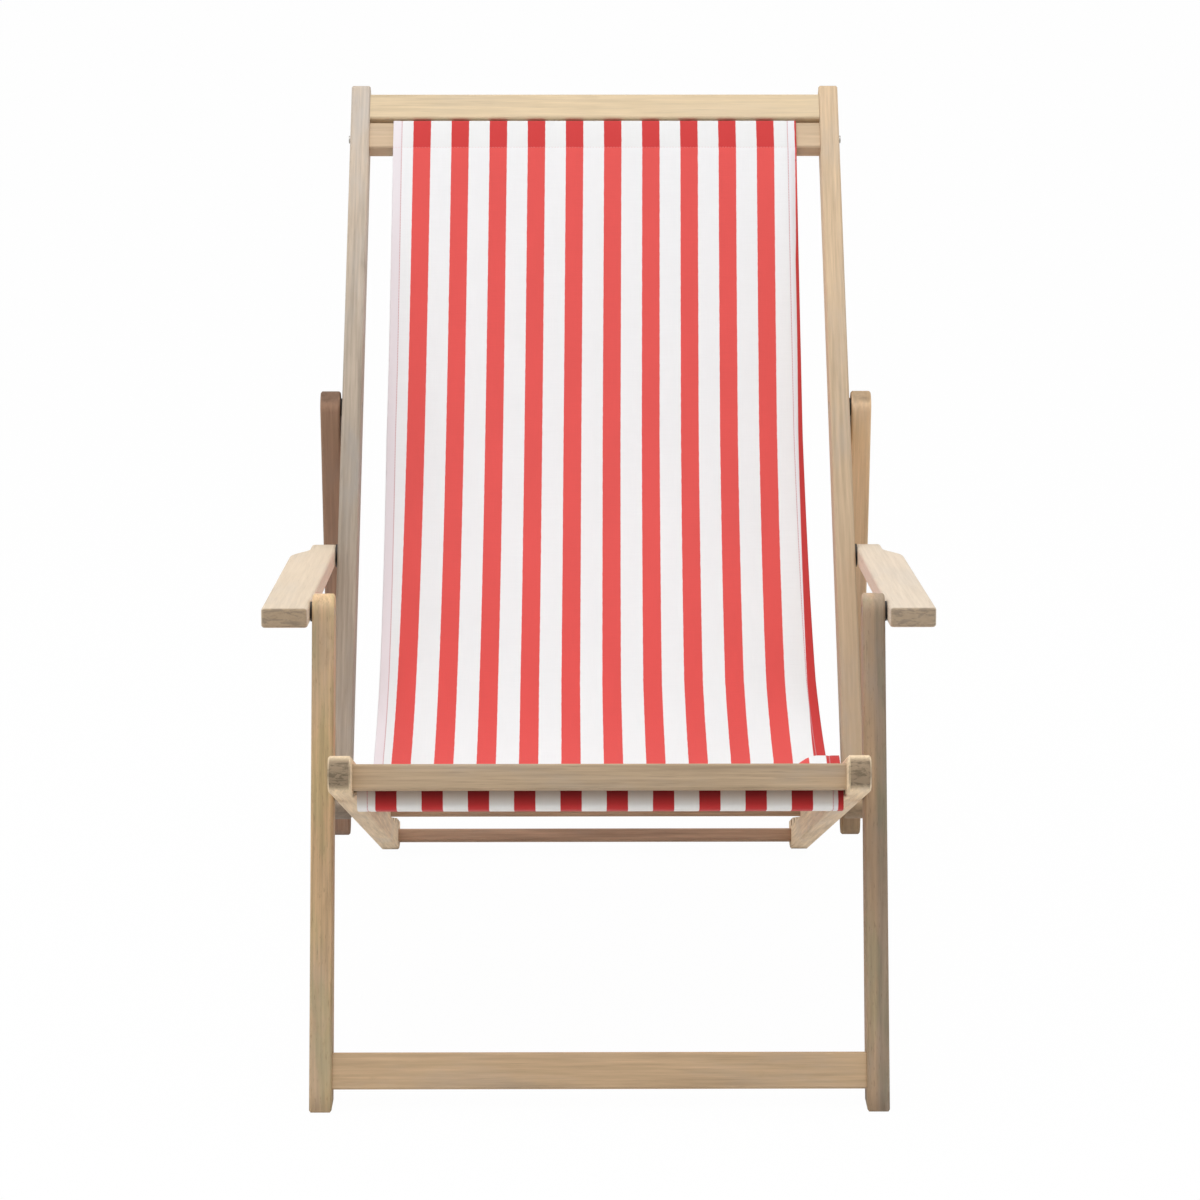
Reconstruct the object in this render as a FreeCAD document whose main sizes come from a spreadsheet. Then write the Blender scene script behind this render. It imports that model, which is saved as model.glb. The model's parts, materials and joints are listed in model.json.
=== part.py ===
import FreeCAD, Part
import math
import os
import Sketcher

Vec = FreeCAD.Vector
doc = FreeCAD.newDocument("deck_chair")
sheet = doc.addObject("Spreadsheet::Sheet", "Sizes")

# Driving sizes in millimetres and degrees
sizes = {
    # rails and boards
    "rail_thick": 22.0, "rail_depth": 36.0, "edge_ease": 1.6, "corner_round": 4.0,
    # seat frame
    "seat_width": 522.0, "seat_tilt": 17.85, "seat_len": 1075.0, "foot_rise": 10.5,
    "seat_to_leg": 119.5, "seat_to_back": 424.0,
    "front_bar_tall": 25.0, "front_bar_deep": 20.0, "front_bar_at": 28.0, "front_bar_drop": 1.0,
    "hang_bar_tall": 18.0, "hang_bar_deep": 22.0, "hang_bar_at": 56.0, "hang_bar_drop": 7.0,
    "rear_bar_tall": 15.3, "rear_bar_deep": 26.0, "rear_bar_in": 22.0, "rear_bar_drop": 2.0,
    # front legs
    "leg_tilt": 17.6, "leg_up": 171.0, "leg_bar_tall": 36.0, "leg_bar_deep": 18.0,
    "leg_bar_high": 33.0, "leg_bar_back": 4.0,
    # back frame
    "back_tilt": 39.5, "back_len": 920.0, "back_to_arm": 300.0,
    "top_bar_tall": 34.0, "top_bar_deep": 20.0, "top_bar_in": 29.5, "top_bar_front": 1.0,
    "cloth_bar_tall": 35.0, "cloth_bar_deep": 20.0, "cloth_bar_in": 69.0, "cloth_bar_front": 3.0,
    # armrests
    "arm_wide": 46.0, "arm_thick": 20.0, "arm_front": 46.0, "arm_past": 22.0, "tail_wide": 28.0,
    "neck_start": 66.0, "neck_end": 25.0, "neck_round": 60.0, "arm_edge": 3.0,
    # prop frame and its notches
    "bar_along": 407.0, "bar_lift": 20.5, "bar_dia": 24.0, "strut_past": 16.5, "bar_tenon": 12.0,
    "notch_pitch": 62.0, "notch_deep": 12.0, "seat_clear": 0.3, "cut_over": 6.0,
    # spaces between the layers
    "layer_gap": 1.5, "arm_gap": 2.5,
    # fasteners
    "bolt_dia": 6.0, "head_dia": 15.0, "head_thick": 3.0, "nut_flat": 10.0, "nut_thick": 5.0,
    "washer_dia": 20.0, "run_gap": 0.05, "sink_gap": 0.3, "open_gap": 5.7, "pin_in": 16.0,
    "screw_dia": 4.5, "screw_head": 9.0, "screw_head_thick": 2.0, "screw_in": 26.0, "bore_past": 1.0,
    # blind tenons of the bars
    "tenon_deep": 12.0, "tenon_inset": 4.0, "tenon_gap": 0.1,
    # cloth
    "cloth_wide": 464.0, "cloth_thick": 1.6, "cloth_clear": 0.5, "pocket_hang": 15.5, "hem_round": 7.0,
    "dip_at": 230.0, "dip_low": 22.0, "low_at": 312.0, "low_drop": 2.0,
    "rise_at": 400.0, "rise_high": 44.0, "lean_at": 469.0, "lean_back": 40.0,
}

row = 0
for name, value in sizes.items():
    row += 1
    sheet.set("A%d" % row, name)
    sheet.set("B%d" % row, str(value))
    sheet.setAlias("B%d" % row, name)
doc.recompute()


# A size carries its number and the expression that gives it
class Size:
    def __init__(self, value, text):
        self.value = value
        self.text = text

    def __add__(self, other):
        other = as_size(other)
        return Size(self.value + other.value, "(%s + %s)" % (self.text, other.text))

    def __sub__(self, other):
        other = as_size(other)
        return Size(self.value - other.value, "(%s - %s)" % (self.text, other.text))

    def __mul__(self, other):
        other = as_size(other)
        return Size(self.value * other.value, "(%s * %s)" % (self.text, other.text))

    def __truediv__(self, other):
        other = as_size(other)
        return Size(self.value / other.value, "(%s / %s)" % (self.text, other.text))

    def __neg__(self):
        return Size(-self.value, "(0 - %s)" % self.text)


def as_size(thing):
    if isinstance(thing, Size):
        return thing
    return Size(float(thing), "%g" % thing)


def q(name):
    return Size(sizes[name], "Sizes." + name)


# A worked-out size is kept in a cell of its own, so that later expressions stay short
def keep(name, size):
    global row
    row += 1
    sheet.set("A%d" % row, name)
    sheet.set("B%d" % row, "=" + size.text.replace("Sizes.", ""))
    sheet.setAlias("B%d" % row, name)
    return Size(size.value, "Sizes." + name)


def cosd(angle):
    return Size(math.cos(math.radians(angle.value)), "cos(%s)" % angle.text)


def sind(angle):
    return Size(math.sin(math.radians(angle.value)), "sin(%s)" % angle.text)


def tand(angle):
    return Size(math.tan(math.radians(angle.value)), "tan(%s)" % angle.text)


def root(size):
    return Size(math.sqrt(size.value), "sqrt(%s)" % size.text)


# Angle of a run and a rise with a positive run
def slope(rise, run):
    text = "(atan(%s / %s) / 1 deg)" % (rise.text, run.text)
    return Size(math.degrees(math.atan(rise.value / run.value)), text)


zero = as_size(0)
half = keep("half_depth", q("rail_depth") / 2)

# Layers outward from the middle
x_seat_in = keep("x_seat_in", q("seat_width") / 2 - q("rail_thick"))
x_seat_out = keep("x_seat_out", q("seat_width") / 2)
x_leg_in = keep("x_leg_in", x_seat_out + q("layer_gap"))
x_leg_out = keep("x_leg_out", x_leg_in + q("rail_thick"))
x_arm_in = keep("x_arm_in", x_leg_out + q("arm_gap"))
x_strut_out = keep("x_strut_out", x_arm_in + q("rail_thick"))

# Pivots seen from the side, rearward and up
seat_cos = keep("seat_cos", cosd(q("seat_tilt")))
seat_sin = keep("seat_sin", sind(q("seat_tilt")))
nose_y = keep("nose_y", -((q("seat_len") * seat_cos + half * seat_sin - half) / 2))
nose_z = keep("nose_z", q("seat_len") * seat_sin + q("foot_rise"))
p1_y = keep("leg_pivot_y", nose_y + q("seat_to_leg") * seat_cos)
p1_z = keep("leg_pivot_z", nose_z - q("seat_to_leg") * seat_sin)
p2_y = keep("back_pivot_y", nose_y + q("seat_to_back") * seat_cos)
p2_z = keep("back_pivot_z", nose_z - q("seat_to_back") * seat_sin)
leg_cos = keep("leg_cos", cosd(q("leg_tilt")))
leg_sin = keep("leg_sin", sind(q("leg_tilt")))
p3_y = keep("arm_front_y", p1_y + q("leg_up") * leg_sin)
p3_z = keep("arm_front_z", p1_z + q("leg_up") * leg_cos)
back_cos = keep("back_cos", cosd(q("back_tilt")))
back_sin = keep("back_sin", sind(q("back_tilt")))
p4_y = keep("arm_rear_y", p2_y + q("back_to_arm") * back_sin)
p4_z = keep("arm_rear_z", p2_z + q("back_to_arm") * back_cos)
arm_run = keep("arm_run", p4_y - p3_y)
arm_rise = keep("arm_rise", p4_z - p3_z)
arm_len = keep("arm_len", root(arm_run * arm_run + arm_rise * arm_rise))
arm_angle = keep("arm_angle", slope(arm_rise, arm_run))

# The prop is as long as its pivot's distance from the back pivot, so its bar runs straight
bar_run = keep("bar_run", root(q("bar_along") * q("bar_along") + q("bar_lift") * q("bar_lift")))
bar_rise_angle = keep("bar_rise_angle", slope(q("bar_lift"), q("bar_along")))
fold_angle = keep("fold_angle", as_size(90) - q("back_tilt") + q("seat_tilt") - bar_rise_angle)
strut_len = keep("strut_len", bar_run / (cosd(fold_angle) * 2))
p5_y = keep("prop_pivot_y", p2_y + strut_len * back_sin)
p5_z = keep("prop_pivot_z", p2_z + strut_len * back_cos)
bar_a = keep("bar_a", q("seat_to_back") + q("bar_along"))
bar_y = keep("bar_y", nose_y + bar_a * seat_cos + q("bar_lift") * seat_sin)
bar_z = keep("bar_z", nose_z - bar_a * seat_sin + q("bar_lift") * seat_cos)
strut_lean = keep("strut_lean", slope(bar_y - p5_y, p5_z - bar_z))

seat_turn = -q("seat_tilt")
leg_turn = as_size(90) - q("leg_tilt")
back_turn = as_size(90) - q("back_tilt")
strut_turn = strut_lean - 90
doc.recompute()


# Sketch and feature helpers
def place(obj, x, y, z, turn):
    about_x = FreeCAD.Rotation(Vec(1, 0, 0), turn.value)
    obj.Placement = FreeCAD.Placement(Vec(x.value, y.value, z.value), about_x)
    obj.setExpression("Placement.Base.x", x.text)
    obj.setExpression("Placement.Base.y", y.text)
    obj.setExpression("Placement.Base.z", z.text)
    obj.setExpression("Placement.Rotation.Angle", turn.text)


def new_body(label, x, y, z, turn):
    body = doc.addObject("PartDesign::Body", label)
    body.Label = label
    place(body, x, y, z, turn)
    return body


def new_sketch(body, name, role, offset=None):
    sketch = body.newObject("Sketcher::SketchObject", name)
    plane = [item for item in body.Origin.OriginFeatures if item.Role == role][0]
    sketch.AttachmentSupport = (plane, "")
    sketch.MapMode = "FlatFace"
    if offset is not None:
        sketch.AttachmentOffset = FreeCAD.Placement(Vec(0, 0, offset.value), FreeCAD.Rotation())
        sketch.setExpression("AttachmentOffset.Base.z", offset.text)
    return sketch


def pin_point(sketch, geo, pos, x, y):
    for kind, size, axis in (("DistanceX", x, -2), ("DistanceY", y, -1)):
        if size is zero:
            sketch.addConstraint(Sketcher.Constraint("PointOnObject", geo, pos, axis))
            continue
        index = sketch.addConstraint(Sketcher.Constraint(kind, -1, 1, geo, pos, size.value))
        sketch.setExpression("Constraints[%d]" % index, size.text)


def draw_corners(sketch, corners):
    first = sketch.GeometryCount
    count = len(corners)
    for i in range(count):
        x, y = corners[i]
        u, v = corners[(i + 1) % count]
        sketch.addGeometry(Part.LineSegment(Vec(x.value, y.value, 0), Vec(u.value, v.value, 0)))
    for i in range(count):
        sketch.addConstraint(Sketcher.Constraint("Coincident", first + i, 2, first + (i + 1) % count, 1))
    for i, (x, y) in enumerate(corners):
        pin_point(sketch, first + i, 1, x, y)


def draw_circle(sketch, x, y, radius):
    geo = sketch.addGeometry(Part.Circle(Vec(x.value, y.value, 0), Vec(0, 0, 1), radius.value))
    pin_point(sketch, geo, 3, x, y)
    index = sketch.addConstraint(Sketcher.Constraint("Radius", geo, radius.value))
    sketch.setExpression("Constraints[%d]" % index, radius.text)


def add_pad(body, sketch, name, length):
    pad = body.newObject("PartDesign::Pad", name)
    pad.Profile = sketch
    pad.Length = length.value
    pad.setExpression("Length", length.text)
    sketch.Visibility = False
    doc.recompute()
    return pad


def add_pocket(body, sketch, name, depth=None, into=True):
    before = body.Shape.Volume
    pocket = body.newObject("PartDesign::Pocket", name)
    pocket.Profile = sketch
    pocket.Reversed = into
    if depth is None:
        pocket.Type = "ThroughAll"
    else:
        pocket.Length = depth.value
        pocket.setExpression("Length", depth.text)
    sketch.Visibility = False
    doc.recompute()
    if body.Shape.Volume > before - 0.5:
        raise RuntimeError("pocket %s of %s cuts nothing" % (name, body.Label))
    return pocket


def edge_ends(edge):
    return [vertex.Point for vertex in edge.Vertexes]


def edge_names(shape, wanted):
    return ["Edge%d" % (i + 1) for i, edge in enumerate(shape.Edges) if wanted(edge)]


def ease_edges(body, base, name, size, wanted):
    chamfer = body.newObject("PartDesign::Chamfer", name)
    chamfer.Base = (base, edge_names(base.Shape, wanted))
    chamfer.Size = size.value
    chamfer.setExpression("Size", size.text)
    doc.recompute()
    return chamfer


def round_edges(body, base, name, radius, wanted):
    fillet = body.newObject("PartDesign::Fillet", name)
    fillet.Base = (base, edge_names(base.Shape, wanted))
    fillet.Radius = radius.value
    fillet.setExpression("Radius", radius.text)
    doc.recompute()
    return fillet


# Edges of the two broad sides of a rail
def on_sides(thick):
    def wanted(edge):
        box = edge.BoundBox
        flat = box.XLength < 0.001
        return flat and (abs(box.XMin) < 0.001 or abs(box.XMin - thick) < 0.001)
    return wanted


# Rail with its broad sides upright: corners along and across, and rounded ends at given points
def make_rail(label, x, y, z, turn, corners, rounds, blunt=None):
    body = new_body(label, x, y, z, turn)
    sketch = new_sketch(body, label + "_outline", "YZ_Plane")
    draw_corners(sketch, corners)
    last = add_pad(body, sketch, label + "_pad", q("rail_thick"))
    if rounds:
        sketch = new_sketch(body, label + "_ends", "YZ_Plane")
        for along in rounds:
            draw_circle(sketch, along, zero, half)
        last = add_pad(body, sketch, label + "_end_pad", q("rail_thick"))
    if blunt is not None:
        def at_blunt_end(edge):
            box = edge.BoundBox
            return box.XLength > 1 and box.YLength < 0.01 and abs(box.YMin - blunt.value) < 0.01
        last = round_edges(body, last, label + "_corners", q("corner_round"), at_blunt_end)
    ease_edges(body, last, label + "_edges", q("edge_ease"), on_sides(sizes["rail_thick"]))
    return body


def add_bores(body, name, spots, radius, depth=None, offset=None, into=True):
    sketch = new_sketch(body, body.Label + "_" + name + "_sketch", "YZ_Plane", offset)
    for along, across in spots:
        draw_circle(sketch, along, across, radius)
    return add_pocket(body, sketch, body.Label + "_" + name, depth, into)


def mirror(source, label):
    copy = doc.addObject("Part::Mirroring", label)
    copy.Source = source
    copy.Normal = Vec(1, 0, 0)
    copy.Label = label
    return copy


bolt_hole = keep("bolt_hole", q("bolt_dia") / 2 + q("run_gap"))
head_hole = keep("head_hole", q("head_dia") / 2 + q("sink_gap"))
head_sink = keep("head_sink", q("head_thick") + q("sink_gap"))
nut_round = keep("nut_round", q("nut_flat") / 2 / cosd(as_size(30)))
nut_hole = keep("nut_hole", nut_round + q("sink_gap"))
nut_sink = keep("nut_sink", q("nut_thick") + q("sink_gap"))
screw_hole = keep("screw_hole", q("screw_dia") / 2)
pilot_deep = keep("pilot_deep", q("screw_in") + q("bore_past"))
mortise_deep = keep("mortise_deep", q("tenon_deep") + q("bore_past") / 2)
doc.recompute()

nodes = []


# Corners of a rectangle given by its middle and its two sizes
def block(along, across, deep, tall):
    near = along - deep / 2
    far = along + deep / 2
    low = across - tall / 2
    high = across + tall / 2
    return [(near, low), (far, low), (far, high), (near, high)]


# Bar across the chair, given by where it is along and across a frame, and its section
class Bar:
    def __init__(self, along, across, deep, tall):
        self.along = along
        self.across = across
        self.deep = deep
        self.tall = tall

    def outline(self, less):
        return block(self.along, self.across, self.deep - less, self.tall - less)


def make_bar(label, y, z, turn, half_len, bar, tenon):
    body = new_body(label, -(half_len + tenon), y, z, turn)
    sketch = new_sketch(body, label + "_section", "YZ_Plane", tenon)
    draw_corners(sketch, bar.outline(zero))
    last = add_pad(body, sketch, label + "_pad", half_len * 2)
    if tenon is not zero:
        sketch = new_sketch(body, label + "_tenon_section", "YZ_Plane")
        draw_corners(sketch, bar.outline(q("tenon_inset") * 2))
        last = add_pad(body, sketch, label + "_tenons", (half_len + tenon) * 2)

    def long_edge(edge):
        box = edge.BoundBox
        return abs(box.XLength - half_len.value * 2) < 0.01
    ease_edges(body, last, label + "_edges", q("edge_ease"), long_edge)
    nodes.append(body)
    return body


# Mortises for bars in the inner side of a rail
def add_mortises(rail, bars):
    sketch = new_sketch(rail, rail.Label + "_mortise_sketch", "YZ_Plane")
    for bar in bars:
        draw_corners(sketch, bar.outline(q("tenon_inset") * 2 - q("tenon_gap") * 2))
    add_pocket(rail, sketch, rail.Label + "_mortises", mortise_deep)


# Seat frame rails
floor_a = keep("floor_a", (nose_z - half * seat_cos) / seat_sin)
floor_n = keep("floor_n", -(q("foot_rise") / seat_cos))
seat_right = make_rail(
    "seat_rail_right", x_seat_in, nose_y, nose_z, seat_turn,
    [(zero, -half), (floor_a, -half), (q("seat_len"), floor_n), (q("seat_len"), half), (zero, half)],
    [zero])
add_bores(seat_right, "bolt", [(q("seat_to_leg"), zero), (q("seat_to_back"), zero)], bolt_hole)
front_bar = Bar(q("front_bar_at"), -q("front_bar_drop"), q("front_bar_deep"), q("front_bar_tall"))
hang_bar = Bar(q("hang_bar_at"), -q("hang_bar_drop"), q("hang_bar_deep"), q("hang_bar_tall"))
rear_at = keep("rear_bar_at", q("seat_len") - q("rear_bar_in") - q("rear_bar_deep") / 2)
rear_bar = Bar(rear_at, -q("rear_bar_drop"), q("rear_bar_deep"), q("rear_bar_tall"))
add_mortises(seat_right, [front_bar, hang_bar, rear_bar])

# Notches: a ramp under the bar's straight path, the seat in use and three more seats
bar_reach = keep("bar_reach", q("bar_dia") / 2 + q("seat_clear"))
ramp_low = keep("ramp_low", q("bar_lift") - bar_reach / cosd(bar_rise_angle))
ramp_end = keep("ramp_end", bar_a + (half - ramp_low) / tand(bar_rise_angle))
above = keep("above_rail", half + q("cut_over"))
ramp = new_sketch(seat_right, "seat_ramp_sketch", "YZ_Plane")
draw_corners(ramp, [(bar_a, ramp_low), (ramp_end, half), (ramp_end, above), (bar_a, above)])
add_pocket(seat_right, ramp, "seat_ramp")
add_bores(seat_right, "notch_used", [(bar_a, q("bar_lift"))], bar_reach)
notch_n = keep("notch_n", half + q("bar_dia") / 2 - q("notch_deep"))
add_bores(seat_right, "notches", [(bar_a + q("notch_pitch") * k, notch_n) for k in (1, 2, 3)], bar_reach)
seat_left = mirror(seat_right, "seat_rail_left")
nodes += [seat_right, seat_left]

# Seat frame bars
seat_bars = (("seat_front_bar", front_bar), ("seat_cloth_bar", hang_bar), ("seat_rear_stretcher", rear_bar))
for label, bar in seat_bars:
    make_bar(label, nose_y, nose_z, seat_turn, x_seat_in, bar, q("tenon_deep"))

# Front legs and their stretcher
leg_front_end = keep("leg_front_end", -((p1_z + half * leg_sin) / leg_cos))
leg_rear_end = keep("leg_rear_end", -((p1_z - half * leg_sin) / leg_cos))
leg_right = make_rail(
    "leg_right", x_leg_in, p1_y, p1_z, leg_turn,
    [(leg_front_end, half), (leg_rear_end, -half), (q("leg_up"), -half), (q("leg_up"), half)],
    [q("leg_up")])
add_bores(leg_right, "bolt", [(zero, zero), (q("leg_up"), zero)], bolt_hole)
add_bores(leg_right, "head_sink", [(zero, zero)], head_hole, head_sink, q("rail_thick"), False)
add_bores(leg_right, "nut_sink", [(q("leg_up"), zero)], nut_hole, nut_sink)
leg_bar_a = keep("leg_bar_a", -((p1_z - q("leg_bar_high")) / leg_cos))
leg_bar_n = keep("leg_bar_n", half - q("leg_bar_back") - q("leg_bar_deep") / 2)
leg_bar = Bar(leg_bar_a, leg_bar_n, q("leg_bar_tall"), q("leg_bar_deep"))
add_mortises(leg_right, [leg_bar])
leg_left = mirror(leg_right, "leg_left")
nodes += [leg_right, leg_left]
make_bar("leg_stretcher", p1_y, p1_z, leg_turn, x_leg_in, leg_bar, q("tenon_deep"))

# Back frame
back_right = make_rail(
    "back_rail_right", x_leg_in, p2_y, p2_z, back_turn,
    [(zero, -half), (q("back_len"), -half), (q("back_len"), half), (zero, half)],
    [zero], q("back_len"))
add_bores(back_right, "bolt", [(zero, zero), (strut_len, zero)], bolt_hole)
add_bores(back_right, "head_sink", [(zero, zero)], head_hole, head_sink, q("rail_thick"), False)
add_bores(back_right, "nut_sink", [(strut_len, zero)], nut_hole, nut_sink)
open_hole = keep("open_hole", q("bolt_dia") / 2 + q("open_gap"))
open_deep = keep("open_deep", q("pin_in") + q("bore_past"))
add_bores(back_right, "open_pivot", [(q("back_to_arm"), zero)], open_hole, open_deep, q("rail_thick"), False)
top_a = keep("top_bar_a", q("back_len") - q("top_bar_in"))
top_n = keep("top_bar_n", half - q("top_bar_front") - q("top_bar_deep") / 2)
cloth_a = keep("cloth_bar_a", q("back_len") - q("cloth_bar_in"))
cloth_n = keep("cloth_bar_n", half - q("cloth_bar_front") - q("cloth_bar_deep") / 2)
top_bar = Bar(top_a, top_n, q("top_bar_tall"), q("top_bar_deep"))
cloth_bar = Bar(cloth_a, cloth_n, q("cloth_bar_tall"), q("cloth_bar_deep"))
cloth_spot = [(cloth_a, cloth_n)]
add_mortises(back_right, [top_bar])
add_bores(back_right, "screw", cloth_spot, screw_hole)
back_left = mirror(back_right, "back_rail_left")
nodes += [back_right, back_left]
make_bar("back_top_bar", p2_y, p2_z, back_turn, x_leg_in, top_bar, q("tenon_deep"))
held_bar = make_bar("back_cloth_bar", p2_y, p2_z, back_turn, x_leg_in, cloth_bar, zero)
add_bores(held_bar, "pilot", cloth_spot, screw_hole, pilot_deep)
add_bores(held_bar, "pilot_far", cloth_spot, screw_hole, pilot_deep, x_leg_in * 2, False)

# Prop frame
strut_end = keep("strut_end", strut_len + q("strut_past"))
strut_right = make_rail(
    "prop_strut_right", x_arm_in, p5_y, p5_z, strut_turn,
    [(zero, -half), (strut_end, -half), (strut_end, half), (zero, half)],
    [zero, strut_end])
add_bores(strut_right, "bolt", [(zero, zero)], bolt_hole)
add_bores(strut_right, "head_sink", [(zero, zero)], head_hole, head_sink, q("rail_thick"), False)
add_bores(strut_right, "mortise", [(strut_len, zero)], q("bar_dia") / 2, q("bar_tenon"))
strut_left = mirror(strut_right, "prop_strut_left")
nodes += [strut_right, strut_left]

prop_half = keep("prop_half", x_arm_in + q("bar_tenon"))
prop_bar = new_body("prop_bar", -prop_half, p5_y, p5_z, strut_turn)
section = new_sketch(prop_bar, "prop_bar_section", "YZ_Plane")
draw_circle(section, strut_len, zero, q("bar_dia") / 2)
add_pad(prop_bar, section, "prop_bar_pad", prop_half * 2)
nodes.append(prop_bar)

# Armrests: plan outline with a narrower tail behind a curved neck
arm_right = new_body("armrest_right", x_arm_in, p3_y, p3_z, arm_angle)
plan = new_sketch(arm_right, "armrest_plan", "XY_Plane", -(q("arm_thick") / 2))
arm_end = keep("arm_end", arm_len + q("arm_past"))
draw_corners(plan, [
    (zero, -q("arm_front")), (q("arm_wide"), -q("arm_front")),
    (q("arm_wide"), arm_len - q("neck_start")), (q("tail_wide"), arm_len - q("neck_end")),
    (q("tail_wide"), arm_end), (zero, arm_end)])
arm_pad = add_pad(arm_right, plan, "armrest_pad", q("arm_thick"))
neck_points = ((sizes["arm_wide"], arm_len.value - sizes["neck_start"]),
               (sizes["tail_wide"], arm_len.value - sizes["neck_end"]))


def at_neck(edge):
    point = edge.CenterOfMass
    upright = edge.BoundBox.ZLength > 1
    return upright and any(math.hypot(point.x - x, point.y - y) < 0.1 for x, y in neck_points)


def at_end_corner(edge):
    point = edge.CenterOfMass
    upright = edge.BoundBox.ZLength > 1
    at_front = abs(point.y + sizes["arm_front"]) < 0.1
    at_rear = abs(point.y - arm_end.value) < 0.1
    return upright and (at_front or at_rear)


def arm_rim(edge):
    return edge.BoundBox.ZLength < 0.01


arm_neck = round_edges(arm_right, arm_pad, "armrest_neck", q("neck_round"), at_neck)
arm_ends = round_edges(arm_right, arm_neck, "armrest_ends", q("corner_round"), at_end_corner)
round_edges(arm_right, arm_ends, "armrest_rim", q("arm_edge"), arm_rim)
add_bores(arm_right, "bolt", [(zero, zero), (arm_len, zero)], bolt_hole)
add_bores(arm_right, "head_sink", [(zero, zero)], head_hole, head_sink, q("arm_wide"), False)
add_bores(arm_right, "pin_sink", [(arm_len, zero)], head_hole, head_sink, q("tail_wide"), False)
arm_left = mirror(arm_right, "armrest_left")
nodes += [arm_right, arm_left]


lie_along_x = FreeCAD.Rotation(Vec(0, 1, 0), 90)


# Round solid along the width of the chair
def cylinder(name, x_from, x_to, y, z, radius):
    solid = doc.addObject("Part::Cylinder", name)
    solid.Radius = radius.value
    solid.setExpression("Radius", radius.text)
    solid.Height = (x_to - x_from).value
    solid.setExpression("Height", (x_to - x_from).text)
    solid.Placement = FreeCAD.Placement(Vec(x_from.value, y.value, z.value), lie_along_x)
    solid.setExpression("Placement.Base.x", x_from.text)
    solid.setExpression("Placement.Base.y", y.text)
    solid.setExpression("Placement.Base.z", z.text)
    return solid


def fuse(name, solids):
    joined = doc.addObject("Part::MultiFuse", name)
    joined.Shapes = solids
    return joined


def group(label, solids):
    both = []
    for solid in solids:
        both += [solid, mirror(solid, solid.Name + "_mirror")]
    bundle = doc.addObject("Part::Compound", label)
    bundle.Links = both
    bundle.Label = label
    nodes.append(bundle)
    return bundle


def bolt(name, x_end, x_face, y, z, sunk):
    radius = q("bolt_dia") / 2
    top = x_face - sunk
    shank = cylinder(name + "_shank", x_end, top, y, z, radius)
    head = cylinder(name + "_head", top, top + q("head_thick"), y, z, q("head_dia") / 2)
    return fuse(name, [shank, head])


def nut(name, x_from, y, z):
    blank = doc.addObject("Part::Prism", name + "_blank")
    blank.Polygon = 6
    blank.Circumradius = nut_round.value
    blank.setExpression("Circumradius", nut_round.text)
    blank.Height = sizes["nut_thick"]
    blank.setExpression("Height", q("nut_thick").text)
    blank.Placement = FreeCAD.Placement(Vec(x_from.value, y.value, z.value), lie_along_x)
    blank.setExpression("Placement.Base.x", x_from.text)
    blank.setExpression("Placement.Base.y", y.text)
    blank.setExpression("Placement.Base.z", z.text)
    bore = cylinder(name + "_bore", x_from, x_from + q("nut_thick"), y, z, bolt_hole)
    cut = doc.addObject("Part::Cut", name)
    cut.Base = blank
    cut.Tool = bore
    return cut


def washer(name, x_from, x_to, y, z, outer):
    disc = cylinder(name + "_disc", x_from, x_to, y, z, outer)
    bore = cylinder(name + "_bore", x_from, x_to, y, z, bolt_hole)
    cut = doc.addObject("Part::Cut", name)
    cut.Base = disc
    cut.Tool = bore
    return cut


washer_round = q("washer_dia") / 2

# Pivot bolts, nuts and washers of the seat rails
inner_end = keep("seat_bolt_end", x_seat_in - q("nut_thick"))
group("seat_pivot_bolts", [
    bolt("leg_bolt", inner_end, x_leg_out, p1_y, p1_z, head_sink),
    bolt("back_bolt", inner_end, x_leg_out, p2_y, p2_z, head_sink)])
group("seat_pivot_nuts", [nut("leg_nut", inner_end, p1_y, p1_z), nut("back_nut", inner_end, p2_y, p2_z)])
group("seat_pivot_washers", [
    washer("leg_washer", x_seat_out, x_leg_in, p1_y, p1_z, washer_round),
    washer("back_washer", x_seat_out, x_leg_in, p2_y, p2_z, washer_round)])

# Armrest front pivots, carried by the legs
x_arm_out = keep("x_arm_out", x_arm_in + q("arm_wide"))
leg_nut_at = keep("leg_nut_at", x_leg_in + q("sink_gap"))
group("arm_front_bolts", [bolt("arm_bolt", leg_nut_at, x_arm_out, p3_y, p3_z, head_sink)])
group("arm_front_nuts", [nut("arm_nut", leg_nut_at, p3_y, p3_z)])
group("arm_front_washers", [washer("arm_washer", x_leg_out, x_arm_in, p3_y, p3_z, washer_round)])

# Prop pivots, carried by the back rails
group("prop_pivot_bolts", [bolt("prop_bolt", leg_nut_at, x_strut_out, p5_y, p5_z, head_sink)])
group("prop_pivot_nuts", [nut("prop_nut", leg_nut_at, p5_y, p5_z)])
group("prop_pivot_washers", [washer("prop_washer", x_leg_out, x_arm_in, p5_y, p5_z, washer_round)])

# Armrest rear pins and washers, one node on each side because each armrest is a body
x_tail_out = keep("x_tail_out", x_arm_in + q("tail_wide"))
pin_end = keep("pin_end", x_leg_out - q("pin_in"))
pin_right = bolt("arm_rear_pin_right", pin_end, x_tail_out, p4_y, p4_z, head_sink)
pin_washer = q("washer_dia") / 2 + q("open_gap") / 2
rear_washer = washer("arm_rear_washer_right", x_leg_out, x_arm_in, p4_y, p4_z, pin_washer)
for solid, name in ((pin_right, "arm_rear_pin"), (rear_washer, "arm_rear_washer")):
    solid.Label = name + "_right"
    nodes += [solid, mirror(solid, name + "_left")]


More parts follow.
